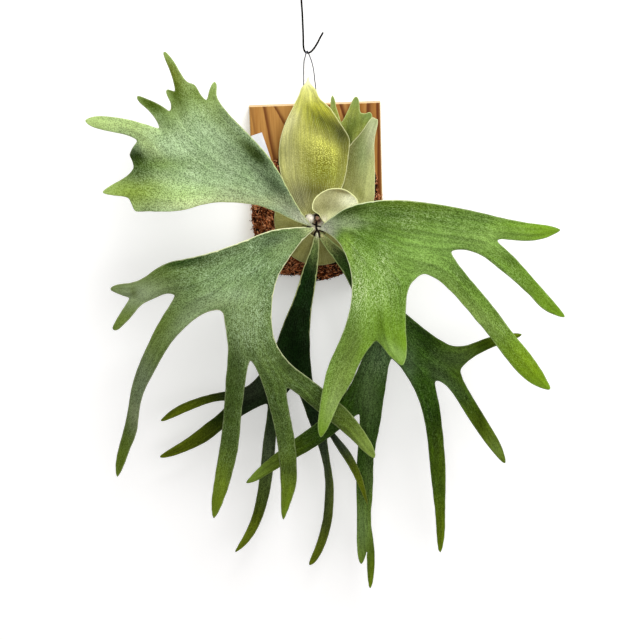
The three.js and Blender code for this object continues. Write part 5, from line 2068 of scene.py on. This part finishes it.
    def flakes(self) -> None:
        """Sets papery brown flakes round the bud, each a bent blade on its side."""
        draw = np.random.default_rng(self.seed)
        stem = hit_tree("rhizome")
        eye = Vector(EYE.place())
        nearest, farthest = self.flake_reach
        shape = bmesh.new()
        for index in range(self.bud_flakes):
            turn = index * self.FLAKE_TURN
            reach = nearest + (farthest - nearest) * math.sqrt(draw.uniform())
            aim = self.bud[0] + reach * math.cos(turn), self.bud[1] + reach * math.sin(turn)
            ray = Vector((aim[0] * MM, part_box("board")[0].y, aim[1] * MM)) - eye
            found, out, _, _ = stem.ray_cast(eye, ray.normalized())
            if found is None:
                continue
            away = Vector((math.cos(turn), -0.7, math.sin(turn)))
            along = (away - out * away.dot(out)).normalized()
            side = out.cross(along)
            length, width = draw.uniform(*self.flake_length), draw.uniform(*self.flake_width)
            rows = []
            for share, wide in self.flake_outline:
                rise = 0.08 + 0.22 * share * share
                spine = found + along * (length * (share - 0.3)) + out * (length * rise)
                rows.append([shape.verts.new(spine + side * (width * wide * edge)) for edge in (-1, 0, 1)])
            for low, high in zip(rows, rows[1:]):
                for k in (0, 1):
                    shape.faces.new((low[k], low[k + 1], high[k + 1], high[k]))
        piece = piece_of("bud_flakes", shape)
        finish_with(piece, "SOLIDIFY", thickness=self.flake_thickness, offset=0)
        piece.data.materials.append(SCALE_BROWN.material())
        dress(piece, "rhizome_scales")

    def woolly_bud(self) -> None:
        """Rounds the woolly bud, roughens it and covers it in hairs."""
        piece = piece_of("woolly_bud_lump", merged_copy("woolly_bud"))
        subdivide(piece, 2)
        smooth(piece)
        places = corners(piece.data)
        rough = ripple(places, 3 * MM, 41) * 0.6 + ripple(places, 1.4 * MM, 42) * 0.4
        raise_corners(piece.data, rough * self.wool_rough)
        piece.data.materials.append(WOOL.material())
        dress(piece, "bud_wool", "woolly_bud")
        self.hairs(piece.data)

    def hairs(self, wool: Mesh) -> None:
        """Covers the woolly bud in short bent hairs.

        Args:
            wool: The bud's mesh.
        """
        draw = np.random.default_rng(self.seed + 1)
        places, normals = corners(wool), corner_normals(wool)
        picks = draw.choice(len(places), self.wool_hairs, replace=False)
        strands = []
        for place, out in zip(places[picks], normals[picks]):
            lean = draw.normal(0, 0.45, 3)
            length = draw.uniform(*self.wool_length)
            bend = draw.normal(0, 0.25, 3)
            points = [place + (out + lean * t + bend * t * t) * length * t for t in (-0.2, 0.3, 0.65, 1.0)]
            strands.append(Strand(points, self.wool_radius))
        dress(tubes("wool_hairs", strands, (WOOL,)), "bud_wool")


@dataclass
class Studio:
    """A pale wall and floor, soft lights and a plain pale surround."""

    white: Colour = (0.93, 0.925, 0.925, 1.0)
    soft_white: Colour = (1.0, 0.985, 0.96, 1.0)
    sheet_size: float = 6
    wall_gap: float = 1.5 * MM
    floor_drop: float = 0.25
    surround_strength: float = 0.35
    wall_glow: float = 0.3
    lights: tuple[tuple[str, Place, float, float], ...] = (
        ("key", (0.8, -1.5, 2.5), 1.6, 74),
        ("fill", (0.8, -2.6, 0.9), 3.0, 48),
        ("back_left", (-2.2, 2.2, 1.4), 2.0, 36),
        ("back_right", (2.2, 2.0, 0.6), 2.0, 24),
    )

    def build(self) -> None:
        """Makes the wall, the floor, the lights and the surround."""
        bpy.context.scene.view_settings.view_transform = "Standard"
        paper = self.paper()
        low, half = CAD_BOX[0].z - self.floor_drop, self.sheet_size / 2
        self.sheet_of("wall", (0, self.wall_gap, low + half), (math.pi / 2, 0, 0), paper)
        self.sheet_of("floor", (0, self.wall_gap - half, low), (0, 0, 0), paper)
        for name, at, size, power in self.lights:
            self.light(name, at, size, power)
        self.surround()

    def surround(self) -> None:
        """Gives the scene a pale surround, white where the camera sees it."""
        world = bpy.data.worlds.new("surround")
        world.use_nodes = True
        shading = Shading(world.node_tree)
        soft = world.node_tree.nodes["Background"]
        shading.fill(soft, {"Color": self.soft_white, "Strength": self.surround_strength})
        white = shading.node("ShaderNodeBackground", {"Color": self.white})
        seen = shading.node("ShaderNodeLightPath").outputs["Is Camera Ray"]
        shading.show_mix("World Output", seen, soft, white)
        bpy.context.scene.world = world

    def paper(self) -> bpy.types.Material:
        """Makes the backdrop's plain white, which is clear from behind.

        Returns:
            The material.
        """
        material, shading, shader = new_material("white_backdrop")
        shading.fill(shader, {
            "Base Color": self.white,
            "Roughness": 0.9,
            "Specular IOR Level": 0.1,
            "Emission Color": self.white,
            "Emission Strength": self.wall_glow,
        })
        behind = shading.node("ShaderNodeNewGeometry").outputs["Backfacing"]
        shading.show_mix("Material Output", behind, shader, shading.node("ShaderNodeBsdfTransparent"))
        return material

    def sheet_of(self, name: str, at: Place, turn: Place, material: bpy.types.Material) -> None:
        """Adds a large flat sheet to the stage.

        Args:
            name: The sheet's name.
            at: Its middle.
            turn: Its turn about each axis.
            material: Its material.
        """
        bpy.ops.object.select_all(action="DESELECT")
        bpy.ops.mesh.primitive_plane_add(size=self.sheet_size, location=at, rotation=turn)
        sheet = bpy.context.object
        sheet.name = name
        sheet.data.materials.append(material)
        sheet.visible_shadow = False
        sheet.visible_diffuse = False
        sheet.visible_glossy = False

    def light(self, name: str, at: Place, size: float, power: float) -> None:
        """Adds a soft square light aimed at the plant's middle.

        Args:
            name: The light's name.
            at: Where it stands.
            size: The length of its side.
            power: Its power in watts.
        """
        data = bpy.data.lights.new(name, "AREA")
        data.size = size
        data.energy = power
        lamp = new_object(name, data)
        lamp.location = at
        middle = (CAD_BOX[0] + CAD_BOX[1]) / 2
        lamp.rotation_euler = (middle - lamp.location).to_track_quat("-Z", "Y").to_euler()


def main() -> None:
    """Builds the plant piece by piece, then the studio round it."""
    logging.basicConfig(level=logging.INFO, format="%(name)s: %(message)s")
    EYE.make_camera()
    Studio().build()
    Board().build()
    Hanger().build()
    RootPad().build()
    Crown().build()
    for leaf in (*SHIELDS, *FRONDS):
        leaf.build()


if __name__ == "__main__":
    main()
